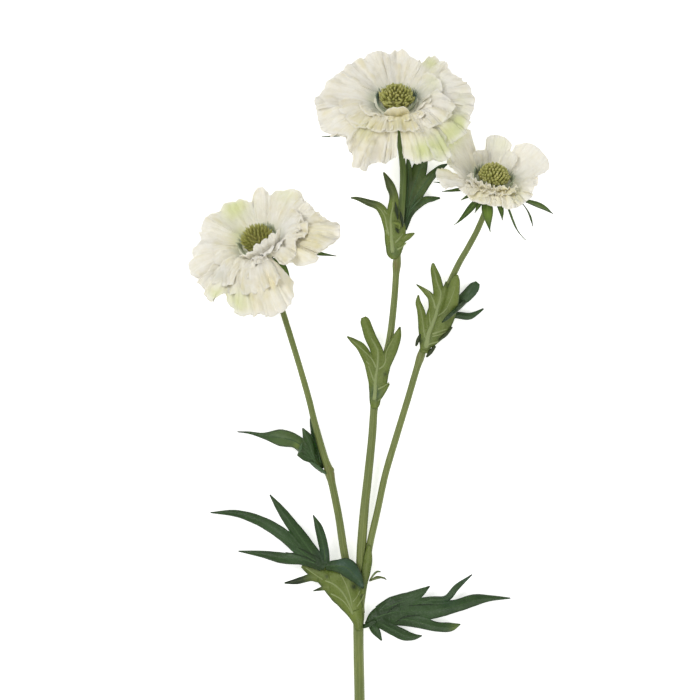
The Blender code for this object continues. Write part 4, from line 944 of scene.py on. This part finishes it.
leafLobes = {
    "baseLeftLeaf": ("base_left_leaf", "dark", (
        ((-24, -86.5, 11.4, 2.6), (-34.5, -80.5, 12, 3.4), (-44.5, -71.5, 11, 3.4),
         (-56.5, -64, 8, 2.8), (-70, -59.5, 4, 1.9), (-84, -59, 1.5, 0.3)),
        ((-27, -85, 12, 3.6), (-35.5, -73.5, 13, 3.6), (-42, -64.5, 13, 2.9), (-47.5, -57, 11, 2.1),
         (-53, -49.5, 9, 0.3)),
        ((-24, -86.5, 11.4, 2.3), (-25, -77, 13, 2.5), (-27.5, -67, 13, 2.1), (-30.5, -60, 12, 0.3)),
        ((-26, -86.5, 12, 2.6), (-35.5, -83, 11, 3.1), (-46, -82.5, 8, 2.9), (-57, -80.5, 5, 1.8),
         (-69.5, -79, 2, 0.3)),
        ((-24, -86.5, 11.4, 2.1), (-18.5, -86.3, 13, 3.2), (-13, -87.3, 13.8, 4.8),
         (-8, -92.5, 13, 3.1), (-4.5, -98, 12, 0.4)))),
    "baseLeftSheath": ("base_left_sheath", "light", (
        ((-7.1, -120, 8, 1.3), (-7.6, -114.5, 9.2, 3.1), (-10, -108.5, 9.6, 4.7),
         (-16, -99.5, 9.6, 6.8), (-24, -92, 10, 5.2), (-32, -88.5, 9.5, 2.9), (-36.5, -86.5, 9, 0.8)),
        ((-8.5, -109.5, 9.6, 4.2), (-12.5, -99, 10, 6.8), (-11.5, -91, 10, 4.7), (-10.5, -86.5, 10, 1)),
        ((-28, -92.5, 9.5, 2.6), (-32, -92.5, 9, 2), (-39, -94.5, 7.5, 1.6), (-45.5, -95.5, 6, 0.4)),
        ((-22, -97.5, 9.5, 2.1), (-25, -98, 8.5, 1.3), (-30.5, -99.5, 7, 0.3)),
        ((-22, -92.5, 9.8, 3.4), (-17, -91.5, 9.8, 3.2), (-12, -92, 10, 2.4)),
        ((-5, -101, 9, 1.2), (-3.6, -92, 9, 2.2), (-2.3, -84, 9, 2.4), (-1.7, -77.5, 8.8, 1.4),
         (-1.4, -75.5, 8.6, 0.4)))),
    "baseRightLeaf": ("base_right_leaf", "dark", (
        ((-3.2, -117, 4.6, 1), (3, -113, 6, 4.7), (14.5, -110, 8, 6.8), (30, -109.5, 8, 4.9),
         (43, -107.5, 6, 3.4), (53, -104.5, 4, 3.1), (61.5, -103.5, 2.5, 1.6), (72, -103.5, 1.5, 0.3)),
        ((14.5, -108.5, 8, 4.2), (30, -104.5, 8, 2.1), (38.5, -103.5, 8, 1.8), (44, -97.5, 7, 1.6),
         (52, -91, 6, 0.3)),
        ((3, -110.5, 6, 3.1), (10.5, -107, 8, 4.4), (19.5, -103.5, 8.5, 3.6), (25, -100.5, 8, 2.3),
         (30, -97, 7, 0.3)),
        ((9.5, -113.5, 7, 3.6), (22.5, -115, 7, 3.6), (32.5, -118, 5, 2.6), (40.5, -118.5, 3, 2.4),
         (46, -117, 2, 0.3)),
        ((2, -115, 6, 2.6), (9.5, -119, 5.5, 2.9), (16.5, -122.5, 4, 2.9), (21.5, -123.5, 3, 1.8),
         (26, -123, 2, 0.3)),
        ((-1, -116, 5, 1.8), (2, -120.5, 4, 2.2), (5, -125.5, 2.5, 0.4)))),
    "leftBranchLeaf": ("left_branch_leaf", "dark", (
        ((-25.5, -37.9, 7, 0.8), (-28.3, -34.5, 8, 1.9), (-33, -27.5, 10, 3.6), (-39.5, -22, 10, 3.6),
         (-47.5, -20, 8.5, 4.4), (-56.5, -19, 5, 1.6), (-63.5, -17.5, 3, 0.7), (-70, -17, 1.5, 0.3)),
        ((-29, -33.5, 8, 2.1), (-31.5, -26.5, 10.5, 3.4), (-33, -21, 11, 2.9), (-36, -15, 10, 0.4)),
        ((-26, -36, 5.6, 1.4), (-27.6, -29, 5.2, 2.4), (-29.4, -21, 5, 1.9), (-31, -14.5, 5.4, 1.2),
         (-32, -10, 5.8, 0.4)),
        ((-30, -31.5, 8, 2.1), (-34.5, -29.5, 8, 2.6), (-38.5, -28, 7.5, 1.3)))),
    "centreLowerLeaf": ("centre_lower_leaf", "light", (
        ((1.3, -5, 9.6, 1.5), (1.5, -2, 10.2, 2.7), (1.8, 3.5, 10.6, 3.4), (3, 14, 11.4, 4.9),
         (2.5, 24.5, 12.4, 3.4), (-1, 32.5, 13, 3), (-3.5, 40, 13, 2.6), (-4.5, 42.5, 13, 1.3)),
        ((2.5, 7.5, 11, 3.1), (-0.5, 17, 11.5, 2.9), (-5, 26, 10.5, 2.5), (-9.5, 30, 9, 1.5),
         (-13, 32.5, 8, 0.4)),
        ((4, 7.5, 11, 3.6), (6.5, 17, 12, 3.1), (10.5, 26.5, 12.8, 3), (13, 32.5, 12.5, 2.1),
         (14.5, 37.5, 12, 0.4)),
        ((1.5, 3.5, 10.6, 2.1), (-1, 12, 10.5, 1.6), (-4, 20, 9.5, 0.4)),
        ((2.5, 0.5, 10.4, 2.1), (5.5, 4, 10.4, 1.6), (9, 8, 10, 0.4)))),
    "centreUpperLeaf": ("centre_upper_leaf", "light", (
        ((11.6, 72.6, 11.2, 1.4), (11.3, 75.4, 11.4, 3.7), (11.6, 80.5, 11.4, 4.8),
         (11.5, 88.5, 11.6, 5.2), (11, 98, 12, 3.3), (11.3, 105, 13, 2.4), (9.2, 111, 13.5, 2.2),
         (7.2, 115.1, 13.5, 1.2), (5.9, 117.5, 13.5, 0.4)),
        ((10, 82.5, 11.2, 2.6), (7.5, 93, 11, 2.6), (4, 99.5, 9.8, 2.2), (-2, 102, 8, 1.7),
         (-7.5, 104, 6.5, 1), (-11, 104.5, 5.5, 0.4)),
        ((13.5, 78.5, 11.4, 2.6), (15.5, 82.5, 11.4, 2.1), (19, 84.5, 10.6, 1.5), (22, 86, 9.6, 0.4)),
        ((13.5, 82.5, 11.4, 3.1), (15, 88.5, 11.8, 2.6), (14, 94, 12.4, 1)))),
    "centreUpperBackLeaf": ("centre_upper_back_leaf", "dark", (
        ((16.5, 88, 5.6, 1.3), (19.5, 103, 5.6, 3.1), (23.5, 115.5, 6, 4.2), (26, 124, 6.5, 3.1),
         (27, 129, 6.5, 1.6)),
        ((16.5, 88, 5.6, 1.6), (20, 99, 5.4, 2.6), (25, 108.5, 5.4, 3.1), (30.5, 115.5, 5.4, 2.3),
         (35.5, 120, 5.4, 1.6), (39, 122, 5.4, 0.4)),
        ((16.5, 90, 5.6, 1.6), (20.5, 98, 5, 2.3), (27, 103, 4, 2), (31.5, 104, 3.2, 1.4),
         (35.5, 104.5, 2.4, 0.4)),
        ((17.5, 95.5, 5.4, 1.8), (18.5, 108.5, 5.2, 2.1), (19, 119, 5, 1.8), (18.5, 125.5, 5, 0.5)),
        ((19.5, 98, 5.2, 2.1), (23.5, 104.5, 5, 2.1), (27.5, 110, 5, 0.4)))),
    "rightBranchLeaf": ("right_branch_leaf", "light", (
        ((27, 24, 9.2, 2.3), (29, 32.5, 9.4, 3.6), (32, 43.5, 10.2, 3.9), (34.5, 53.5, 11.5, 3),
         (33.5, 61.5, 12.5, 2.6), (32, 67, 12.5, 1.8), (31.5, 70.5, 12.5, 0.6)),
        ((30, 36, 9.6, 3.1), (32, 45, 10, 3.1), (31, 52, 10, 2.1), (27.5, 56, 9, 1.3),
         (23, 59.5, 8, 0.3)),
        ((27, 25.5, 9.2, 2.1), (27, 35, 9.2, 2.9), (25.5, 45, 9.2, 2.1), (24, 50, 8.6, 1.5),
         (24, 54, 8, 0.4)),
        ((29, 28, 9.3, 2.6), (35, 37, 9.6, 5.2), (40.3, 47, 9.8, 4), (41.9, 55.5, 10, 3.5),
         (43.1, 61.3, 10.2, 2.5), (44, 64.5, 10.2, 0.7)),
        ((32, 41, 10, 2.6), (35.5, 50, 10.8, 2.6), (37.5, 56, 11.3, 1.6), (38.5, 61, 11.5, 0.4)))),
    "rightBranchBackLeaf": ("right_branch_back_leaf", "dark", (
        ((34, 38.5, 3.6, 1.6), (39, 43, 3.8, 2.3), (44.5, 49.5, 4, 2.6), (49.5, 54, 3.8, 3.1),
         (53, 58, 3.4, 2.9), (55, 60.5, 3, 1.3)),
        ((36.5, 40, 3.6, 1.6), (42.5, 43.5, 3.4, 1.7), (50, 43, 2.8, 1.9), (54, 44.5, 2.2, 1.2),
         (58, 47, 1.6, 0.4)))),
    "forkLeaflet": ("fork_leaflet", "light", (
        ((-1.3, -94.3, 5.5, 0.4), (2, -93, 7, 0.6), (5, -92.5, 8, 0.5), (7.5, -93.5, 8.5, 0.3)),
        ((-1.3, -94.3, 5.5, 0.4), (0.5, -91.5, 7.5, 0.5), (2.5, -89.5, 9, 0.5),
         (4.5, -89.5, 9.5, 0.3)))),
}


# raised veins: half width at the start and at the end, then the line in plan from base to tip
leafVeins = {
    "centreLowerLeaf": (
        (1.1, 0.3, ((1, -0.5), (1.6, 3.6), (1.6, 8.3), (2.1, 12.5), (2.6, 16.1), (3.1, 21.3),
                    (2.9, 25.5), (1.6, 28.1), (-0.5, 31.7))),
        (0.45, 0.15, ((2.1, 16.1), (0.5, 19.8), (-1.6, 22.4), (-4.2, 25), (-7.3, 27.6), (-10.4, 30.7))),
        (0.45, 0.15, ((3.6, 15.6), (5.7, 17.2), (7, 19.8), (7, 22.4), (8.3, 26.5), (11.4, 31.7))),
        (0.55, 0.3, ((1.6, 8.3), (0, 12), (-1, 15.1), (-1.8, 17.2))),
        (0.35, 0.25, ((-1.6, 18.2), (-3.1, 19.8))),
        (0.5, 0.3, ((3.1, 5.2), (5.2, 6.2), (7.8, 7.8), (8.8, 8.6))),
        (0.35, 0.25, ((3.1, -0.8), (4.7, 0.5)))),
    "rightBranchLeaf": (
        (1.5, 0.25, ((28.1, 26.5), (28.6, 30.7), (29.4, 34.3), (30.7, 37.4), (32.2, 41.1), (33.3, 44.2),
                     (33.8, 47.3), (34.8, 49.9), (35.4, 52.5), (35.6, 55.6), (34.3, 58.8), (33.3, 61.9),
                     (32.2, 67.1))),
        (0.6, 0.15, ((32.8, 46.8), (32.2, 49.9), (31.2, 52.5), (30.2, 54.6), (28.1, 56.7), (25, 58.8))),
        (0.45, 0.15, ((34.1, 43.2), (36.4, 44.7), (38.5, 46.8), (39.3, 48.4), (41.6, 53.6),
                      (43.2, 58.8))),
        (0.45, 0.2, ((27.6, 31.7), (27, 34.8), (26.5, 38.5), (26.3, 41.1), (25, 47.3))),
        (0.45, 0.2, ((30.2, 38.5), (29.9, 42.1), (29.6, 45.2))),
        (0.5, 0.3, ((31.2, 33.8), (34.3, 34.8), (37.4, 35.9), (39, 36.4))),
        (0.35, 0.25, ((31.2, 32.5), (35.4, 33.5), (39, 35.1))),
        (0.55, 0.35, ((29.1, 28.3), (31.7, 29.1), (34.3, 29.9)))),
    "centreUpperLeaf": (
        (1.1, 0.12, ((10.7, 75.9), (10.1, 82.7), (9.9, 87.9), (9.6, 92), (10.1, 96.6), (10.9, 100.5),
                     (10.4, 104))),
        (0.5, 0.08, ((8.8, 84.8), (7.5, 90), (6.6, 94.6), (4.2, 98.4), (1, 100.4))),
        (0.5, 0.3, ((12, 81.1), (14, 83.2), (16.1, 85.8))),
        (0.5, 0.3, ((13, 77.5), (15.6, 79), (17.7, 81.1))),
        (0.35, 0.3, ((6.2, 97.8), (7.8, 95.7))),
        (0.35, 0.3, ((7.3, 87.9), (7.8, 85.3))),
        (0.35, 0.2, ((16.6, 83.7), (18.7, 85.3)))),
    "baseLeftSheath": (
        (0.35, 0.55, ((-24.4, -94.1), (-21.3, -95.2), (-18.2, -97.2), (-15.1, -100.4), (-13, -104),
                      (-11.4, -107.6), (-9.9, -111.8))),
        (0.4, 0.3, ((-21.3, -100.9), (-17.7, -102.7), (-14.6, -105), (-12.5, -107.6), (-10.4, -111.3))),
        (0.3, 0.25, ((-9.9, -105), (-7.8, -102.4), (-6.2, -99.3))),
        (0.3, 0.25, ((-7.8, -107.6), (-5.7, -104.5), (-4.2, -101.4))),
        (0.25, 0.4, ((-16.6, -90), (-13.5, -96.2), (-11.4, -102.4), (-10.4, -107.6))),
        (0.2, 0.4, ((-34.3, -87.4), (-30.2, -90.5), (-25.5, -93.6)))),
}

# stalks and curled edges on the leaves, dark strips laid as painted shade along folds and slots, and light
# ones that are partly pale flaps and partly painted highlights: tint and its strength, then x, y, z, radius
# along each; where z is 0 the strip lies on the blade
leafStalks = {
    "baseRightLeaf": (
        ("dark", 0.2, ((-5.4, -118.4, 4.4, 0.9), (-3.4, -117.7, 5, 1.2), (-1, -116.6, 5.8, 1.3),
                       (2, -115, 6.6, 0.7))),
        ("dark", 0.8, ((6.8, -112.3, 0, 0.15), (10.4, -108.6, 0, 0.5), (14.6, -105.8, 0, 0.15))),
        ("dark", 0.8, ((12, -116, 0, 0.15), (17.5, -112.8, 0, 0.5), (25, -112, 0, 0.15))),
        ("dark", 0.75, ((19, -107.2, 0, 0.15), (26, -106.6, 0, 0.42), (34, -106.8, 0, 0.15))),
        ("light", 0.8, ((3.8, -109.8, 0, 0.15), (6.8, -106.9, 0, 0.3), (10.4, -105.2, 0, 0.12))),
        ("light", 0.8, ((25.4, -105.2, 0, 0.12), (28.4, -105.6, 0, 0.36), (31.4, -105.4, 0, 0.12)))),
    "baseLeftLeaf": (
        ("dark", 0.75, ((-27, -82.6, 0, 0.15), (-33, -79.4, 0, 0.45), (-41, -75.8, 0, 0.12))),
        ("dark", 0.7, ((-28.5, -84.6, 0, 0.15), (-36, -81.2, 0, 0.4), (-45, -79.4, 0, 0.12))),
        ("light", 0.7, ((-38, -77.6, 0, 0.12), (-46, -71.9, 0, 0.3), (-57, -66.4, 0, 0.1)))),
    "rightBranchLeaf": (
        ("dark", 0.85, ((22.8, 27.6, 8, 0.5), (23.8, 30.6, 8.4, 1.0), (25.2, 33.8, 8.4, 0.6))),
        ("dark", 0.85, ((28.2, 21.8, 8, 0.5), (30.3, 24.4, 8.4, 1.1), (32.8, 27.6, 8.4, 0.7))),
        ("dark", 0.8, ((34.8, 30.6, 8.4, 0.5), (38.2, 33.4, 8.8, 0.9), (41.6, 37.4, 8.8, 0.4)))),
    "rightBranchBackLeaf": (
        ("dark", 0.35, ((36.1, 39.7, 12.2, 0.3), (38.3, 41.6, 12.6, 0.9), (40.6, 43.7, 12.4, 1.1),
                        (43, 45.8, 11.6, 1.2), (45.6, 48, 8, 1.2), (48, 50.2, 4.6, 1.1))),),
    "leftBranchLeaf": (
        ("light", 0.9, ((-23.8, -38.6, 8.4, 0.6), (-26, -37, 9.4, 0.95), (-28.8, -34.6, 9.8, 0.9),
                        (-31.9, -32.4, 9.6, 0.4))),
        ("light", 0.8, ((-37.6, -27.8, 10.2, 0.3), (-37, -25.6, 11, 0.9), (-36.2, -22.6, 11.2, 0.3)))),
    "centreUpperLeaf": (
        ("dark", 0.95, ((11.9, 102.4, 13.3, 0.12), (12.4, 99.4, 13.2, 0.6), (12.9, 96.4, 12.9, 0.75),
                        (13.3, 93, 12.4, 0.2))),
        ("dark", 0.95, ((14.7, 97.4, 12.6, 0.15), (15.2, 94.4, 12.5, 0.7), (15.7, 91.6, 12.3, 0.7),
                        (15.9, 89.2, 12, 0.2))),
        ("light", 0.6, ((10.8, 91.4, 12.9, 0.3), (12.6, 91, 13.3, 0.75), (14.2, 90.2, 13.2, 0.7),
                        (14, 88.2, 12.9, 0.35))),
        ("dark", 0.9, ((12.2, 88.8, 12.7, 0.2), (12.9, 87.4, 12.7, 0.6), (13.6, 86, 12.4, 0.2)))),
    "centreUpperBackLeaf": (
        ("light", 0.9, ((20.1, 98.4, 6.3, 0.15), (22.8, 101.5, 6.4, 0.36), (25.8, 104.6, 6, 0.15))),),
    "forkLeaflet": (
        ("dark", 0.35, ((-1.3, -94.5, 5.6, 0.35), (2.5, -92.1, 7.6, 0.4), (6.6, -92.6, 8.6, 0.3))),),
}

# where the leaves are tinged, and where painted shade and painted highlights are laid: x, y, reach of the
# tint, strength
leafTints = {
    "blue": ((1.6, 2.1, 2.8, 0.8), (1.6, 5.7, 1.9, 0.5), (-12.5, -86.3, 4.4, 0.8),
             (-16.6, -84.8, 2.5, 0.7), (-7.8, -91, 2.5, 0.8), (-5.7, -96.2, 1.9, 0.9),
             (-24.5, -80, 4, 0.5), (-24.5, -70, 3, 0.3), (28.6, 30.7, 2.2, 0.35),
             (11.4, 76.4, 2.5, 0.4), (52, -92, 6, 0.7), (40, -104, 5, 0.35), (38, 120, 4, 0.3),
             (55, 57, 5, 0.3)),
    "yellow": ((-45, -21, 9, 0.3), (22, 104, 8, 0.36), (21, 117, 8, 0.32), (30, 113, 6, 0.2),
               (-9.4, -112.3, 2.2, 0.9), (-10.4, -108.2, 3.1, 0.6), (10.4, 100.9, 2.5, 0.5),
               (43.2, 59.3, 3.7, 0.5), (18.7, 82.7, 3.1, 0.5), (1, -3.6, 1.9, 0.5),
               (-32.2, -90, 3.1, 0.4), (-19.2, -93.1, 4.4, 0.3), (-14, -99.3, 3.7, 0.3),
               (-38.5, -24, 2, 0.8), (43.5, -119.2, 2.8, 0.8), (-44, -95, 1.6, 0.6),
               (-28.5, -34, 2, 0.6), (12, 33, 3, 0.3)),
    # dark: painted shade in folds, in gaps between lobes and under curled edges
    "dark": ((41, 36.8, 1.4, 0.6), (38, 33.8, 1.4, 0.6), (35, 30.8, 1.4, 0.6), (31.6, 26, 1.3, 0.6),
             (24, 29, 1.2, 0.6), (38.4, 59.5, 1.6, 0.6), (-26, -30, 2.2, 0.8), (-25.2, -35.5, 1.6, 0.8),
             (-9.4, -97.2, 1.6, 1), (-23.4, -92, 1, 0.9), (12.5, 98.3, 1.6, 0.8),
             (15.6, 93.1, 1.6, 0.8), (13.5, 87.4, 1, 0.9), (6.8, 13, 1, 0.8), (25, 30.2, 1.4, 0.7),
             (30.7, 25, 1.6, 0.8), (37.4, 32.2, 1.6, 0.5), (-37.4, -94.1, 5.6, 0.95),
             (-43.2, -94.6, 3.7, 0.95), (-28.1, -99.1, 2.8, 0.9), (-32.2, -99.6, 1.9, 0.9),
             (-8.8, 32.2, 3.1, 0.35), (-7.3, 104, 5.6, 0.7), (0, 101.9, 4.2, 0.6),
             (7.3, 113.9, 4.6, 0.72), (9, 107, 3.6, 0.6), (-29, -84, 6, 0.5), (-25, -32, 3, 0.7),
             (-27, -38, 3, 0.4), (6, -112, 5, 0.5), (18, 112, 6, 0.5), (19, 97, 4, 0.6),
             (22, 104, 3, 0.4), (4, -92, 6, 0.7), (12, -106, 4, 0.5), (16, -117, 4, 0.3)),
    # light: pale spots, and painted highlights and sheen on the glossy blades
    "light": ((-45, -21, 9, 0.35), (52, 50, 8, 0.35), (-38.7, -23.5, 2.2, 0.95), (-52, -68, 6, 0.5),
              (-44, -71, 4, 0.4), (-40, -81, 5, 0.5), (28, -111, 7, 0.4), (10, -106, 5, 0.35),
              (24, -101, 5, 0.4), (42, -119, 4, 0.3), (-48, -21, 6, 0.5), (47, 52, 6, 0.4),
              (-32, -58, 5, 0.3)),
}


def makeLeaf(name, node, tone, lobes, material):
    # lobes are drawn in plan, joined in plan, lifted to height and given thickness, then veined
    look = leafLook
    stations = look["stations"]
    outline, loops, middles, trees = [], [], [], []
    for lobe in lobes:
        left, right = [], []
        for k in range(stations):
            t = k / (stations - 1)
            place = splinePoint(lobe, t)
            run = splinePoint(lobe, t + 0.01) - splinePoint(lobe, t - 0.01)
            run = Vector((run.x, run.y)).normalized()
            ripple = look["edgeWave"] * wobble(len(name), place.x / 3, place.y / 3)
            edge = max(place.w, look["narrowest"]) * (1 + ripple)
            side = Vector((-run.y, run.x)) * edge
            left.append(Vector((place.x, place.y)) + side)
            right.append(Vector((place.x, place.y)) - side)
        loops.append([len(outline) + k for k in range(2 * stations)])
        outline += right + left[::-1]
        line = [splinePoint(lobe, k / look["samples"]) for k in range(look["samples"] + 1)]
        middles.append(line)
        tree = kdtree.KDTree(len(line))
        for k, s in enumerate(line):
            tree.insert((s.x, s.y, 0), k)
        tree.balance()
        trees.append(tree)

    def heightAt(x, y):
        # height of the blade's middle there, and how near the edge it is, from 0 to 1
        total, weight, rib = 0, 0, 9
        for line, tree in zip(middles, trees):
            _, k, away = tree.find((x, y, 0))
            near = line[k]
            share = away / max(near.w, 0.4)
            pull = 1 / (0.15 + share ** 2) ** 2
            total += pull * (near.z - look["keel"] * near.w * min(share, 1) ** 1.4)
            weight += pull
            rib = min(rib, share)
        rib = min(rib, 1)
        broad, fine = look["waveSize"], look["fineWaveSize"]
        waves = wobble(len(name), x / broad, y / broad) + 0.5 * wobble(len(name) + 3, x / fine, y / fine)
        return max(total / weight + look["wave"] * waves * (0.25 + 0.75 * rib), look["lowest"]), rib

    def marksAt(x, y, rib):
        point = Vector((x, y, 0))
        marks = {tint: tintAt(places, point) for tint, places in leafTints.items()}
        marks["rib"] = 1 - rib
        return marks

    low = Vector((min(p.x for p in outline), min(p.y for p in outline)))
    high = Vector((max(p.x for p in outline), max(p.y for p in outline)))
    inside = []                       # a grid of even triangles within the lobes
    step = look["spacing"]
    row = 0
    y = low.y
    while y < high.y:
        x = low.x + (step / 2 if row % 2 else 0)
        while x < high.x:
            for line, tree in zip(middles, trees):
                _, k, away = tree.find((x, y, 0))
                if away < line[k].w - 0.35 * step:
                    inside.append(Vector((x, y)))
                    break
            x += step
        row += 1
        y += step * 0.866
    points, _, faces, _, _, owners = delaunay_2d_cdt(outline + inside, [], loops, 0, 0.005)
    shape = newShape("rib", "vein", *leafTints)
    top, under = {}, {}
    # the faces that a lobe owns make the blade's two sides, and their outer edges its rim
    for k in sorted({k for face, owner in zip(faces, owners) if owner for k in face}):
        z, rib = heightAt(points[k].x, points[k].y)
        half = look["thickness"] / 2 * (1 - 0.6 * rib ** 3)
        marks = marksAt(points[k].x, points[k].y, rib)
        top[k] = addPoint(shape, Vector((points[k].x, points[k].y, z + half)), **marks)
        under[k] = addPoint(shape, Vector((points[k].x, points[k].y, z - half)), **marks)
    edges = set()
    for face, owner in zip(faces, owners):
        if not owner:
            continue
        if (points[face[1]] - points[face[0]]).cross(points[face[2]] - points[face[0]]) < 0:
            face = face[::-1]
        shape["faces"].append(tuple(top[k] for k in face))
        shape["faces"].append(tuple(under[k] for k in reversed(face)))
        edges.update(zip(face, face[1:] + face[:1]))
    for a, b in sorted(edges):
        if (b, a) not in edges:
            shape["faces"].append((top[b], top[a], under[a], under[b]))
    veins = leafVeins.get(name)
    if veins is None:
        veins = [(look["veinRadius"], look["veinTip"], [(line[k].x, line[k].y) for k in range(6, 52, 5)])
                 for line in middles]
    count = look["veinSteps"]
    for start, end, line in veins:
        path, radii = [], []
        for k in range(count + 1):
            x, y = splinePoint(line, k / count)
            z, _ = heightAt(x, y)
            path.append(Vector((x, y, z + look["thickness"] / 2 - 0.1)))
            radii.append(mix(start, end, k / count) * (0.75 if k in (0, count) else 1))
        first = len(shape["points"])
        addTube(shape, path, radii, look["sides"], lambda j, k: {"rib": 1.0, "vein": 1 - 0.4 * j / count})
        # a vein is a low ridge, so its round section is pressed halfway to the blade
        for p in shape["points"][first:]:
            z = heightAt(p.x, p.y)[0] + look["thickness"] / 2
            p.z = z + (p.z - z) * 0.5
    count = look["stalkSteps"]
    for tint, strength, line in leafStalks.get(name, ()):
        path, radii = [], []
        for k in range(count + 1):
            x, y, z, radius = splinePoint(line, k / count)
            if z == 0:
                z = heightAt(x, y)[0] + look["thickness"] / 2 - 0.4 * radius
            path.append(Vector((x, y, z)))
            radii.append(max(radius, 0.1))
        addTube(shape, path, radii, look["sides"], lambda j, k: {"rib": 0.4, tint: strength})
    slot = "leaf_dark_green" if tone == "dark" else "leaf_light_green"
    return makePiece(name, shape, material, slot, node)


def leafTissue(name, shades, vein, ribFade, roughness):
    # leaf blade: satin, finely grained and netted, with raised paler veins and a darker margin, painted
    # shade in its folds and gaps, and pale spots with painted highlights
    ground, patch, speckle, paleSpotAndSheen, margin = shades
    material, tree, shader, place = newMaterial(
        name, Roughness=roughness, IOR=1.42, Subsurface_Weight=0.05, Subsurface_Scale=0.001,
        Subsurface_Radius=(0.5, 1.0, 0.25))
    # grain of 0.8 mm, clouds of 5.5 mm, and a net with meshes of 1.8 mm, coarser than real to show
    grain = addNode(tree, "ShaderNodeTexNoise",
                    {"Vector": place, "Scale": 1.3, "Detail": 4, "Roughness": 0.6})
    clouds = addNode(tree, "ShaderNodeTexNoise", {"Vector": place, "Scale": 0.18, "Detail": 3})
    net = addNode(tree, "ShaderNodeTexVoronoi", {"Vector": place, "Scale": 0.55}, feature="DISTANCE_TO_EDGE")
    green = layered(tree, ground, (
        (patch, clouds, 0.35, 0.65, 0, 1),
        (speckle, grain, 0.4, 0.75, 0, 0.55),
        (vein, net, 0, 0.12, 0.15, 0),
        # pale spots and painted highlights
        (paleSpotAndSheen, "light", 0, 1, 0, 0.8),
        ("#788838", "yellow", 0, 1, 0, 0.7),
        ("#3B5643", "blue", 0, 1, 0, 1),
        # painted shade in the folds and gaps
        ("#1B2A12", "dark", 0, 1, 0, 1),
        (margin, "rib", 0, 0.24, 0.75, 0),
        (vein, "rib", 0.6, 1, 0, ribFade),
        (vein, "vein", 0, 1, 0, 1)))
    meshes = addNode(tree, "ShaderNodeMapRange", {0: net, 1: 0, 2: 0.2})
    relief = addNode(tree, "ShaderNodeMix", {0: 0.5, 2: grain, 3: meshes})
    coat(tree, shader, green, relief, 0.35, 0.4)
    gloss = addNode(tree, "ShaderNodeMapRange",
                    {0: grain, 1: 0.3, 2: 0.7, 3: roughness - 0.07, 4: roughness + 0.09})
    tree.links.new(gloss, shader.inputs["Roughness"])
    return material


# shades: two ground colours, the grain's, the paler patches' (pale spots and painted highlights) and the
# margin's
leafMaterials = {
    "light": leafTissue("youngLeaf", ("#64732A", "#6F7D35", "#526424", "#829143", "#34461A"),
                        "#929F68", 0.2, 0.5),
    "dark": leafTissue("oldLeaf", ("#29431B", "#365026", "#1F3416", "#4E6844", "#182910"),
                       "#3F5B30", 0.16, 0.42),
}
for name, (node, tone, lobes) in leafLobes.items():
    makeLeaf(name, node, tone, lobes, leafMaterials[tone])


# floor, light and camera

studio = {
    "floorSize": 6, "floorDrop": 0.0002, "floorGlow": 0.56,   # metres from here on
    "cameraHeight": 3.0, "centre": (-0.01144, 0.02548), "shownWidth": 0.364, "sensorWidth": 36,
    "sky": 0.43,
    "keyPower": 16.3, "keyPlace": (-1.0, 0.7, 1.8), "keySize": 0.9,
    "fillPower": 14, "fillPlace": (0.7, -1.1, 1.7), "fillSize": 1.2,
}


def frostedAcrylic():
    # frosted white acrylic over a lamp: matt and pale, it lets only the faintest shadows show
    material, tree, shader, place = newMaterial(
        "frostedAcrylic", Roughness=0.9, Emission_Color=(1, 1, 1, 1), Emission_Strength=studio["floorGlow"])
    grain = addNode(tree, "ShaderNodeTexNoise", {"Vector": place, "Scale": 0.02, "Detail": 2})   # 50 mm
    tree.links.new(layered(tree, "#FBFBF9", (("#F8F8F7", grain, 0, 1, 0, 1),)), shader.inputs["Base Color"])
    return material


def makeStudio():
    half, low = studio["floorSize"] / 2, -studio["floorDrop"]
    mesh = bpy.data.meshes.new("floor")
    mesh.from_pydata([(-half, -half, low), (half, -half, low), (half, half, low), (-half, half, low)],
                     [], [(0, 1, 2, 3)])
    mesh.materials.append(frostedAcrylic())
    floor = bpy.data.objects.new("floor", mesh)
    bpy.context.scene.collection.objects.link(floor)
    for name in ("key", "fill"):
        light = bpy.data.lights.new(name + "Light", "AREA")
        light.energy = studio[name + "Power"]
        light.size = studio[name + "Size"]
        lamp = bpy.data.objects.new(name + "Light", light)
        lamp.location = studio[name + "Place"]
        lamp.rotation_euler = (Vector((0, 0, 0)) - lamp.location).to_track_quat("-Z", "Y").to_euler()
        bpy.context.scene.collection.objects.link(lamp)
    world = bpy.data.worlds.new("softRoom")
    world.use_nodes = True
    world.node_tree.nodes["Background"].inputs["Color"].default_value = (1, 1, 1, 1)
    world.node_tree.nodes["Background"].inputs["Strength"].default_value = studio["sky"]
    bpy.context.scene.world = world
    lens = bpy.data.cameras.new("camera")
    lens.sensor_width = studio["sensorWidth"]
    lens.lens = studio["sensorWidth"] * studio["cameraHeight"] / studio["shownWidth"]
    lens.clip_end = 20
    camera = bpy.data.objects.new("camera", lens)
    camera.location = (*studio["centre"], studio["cameraHeight"])
    bpy.context.scene.collection.objects.link(camera)
    bpy.context.scene.camera = camera
    bpy.context.scene.view_settings.view_transform = "Standard"


makeStudio()
print("floor, light and camera placed")
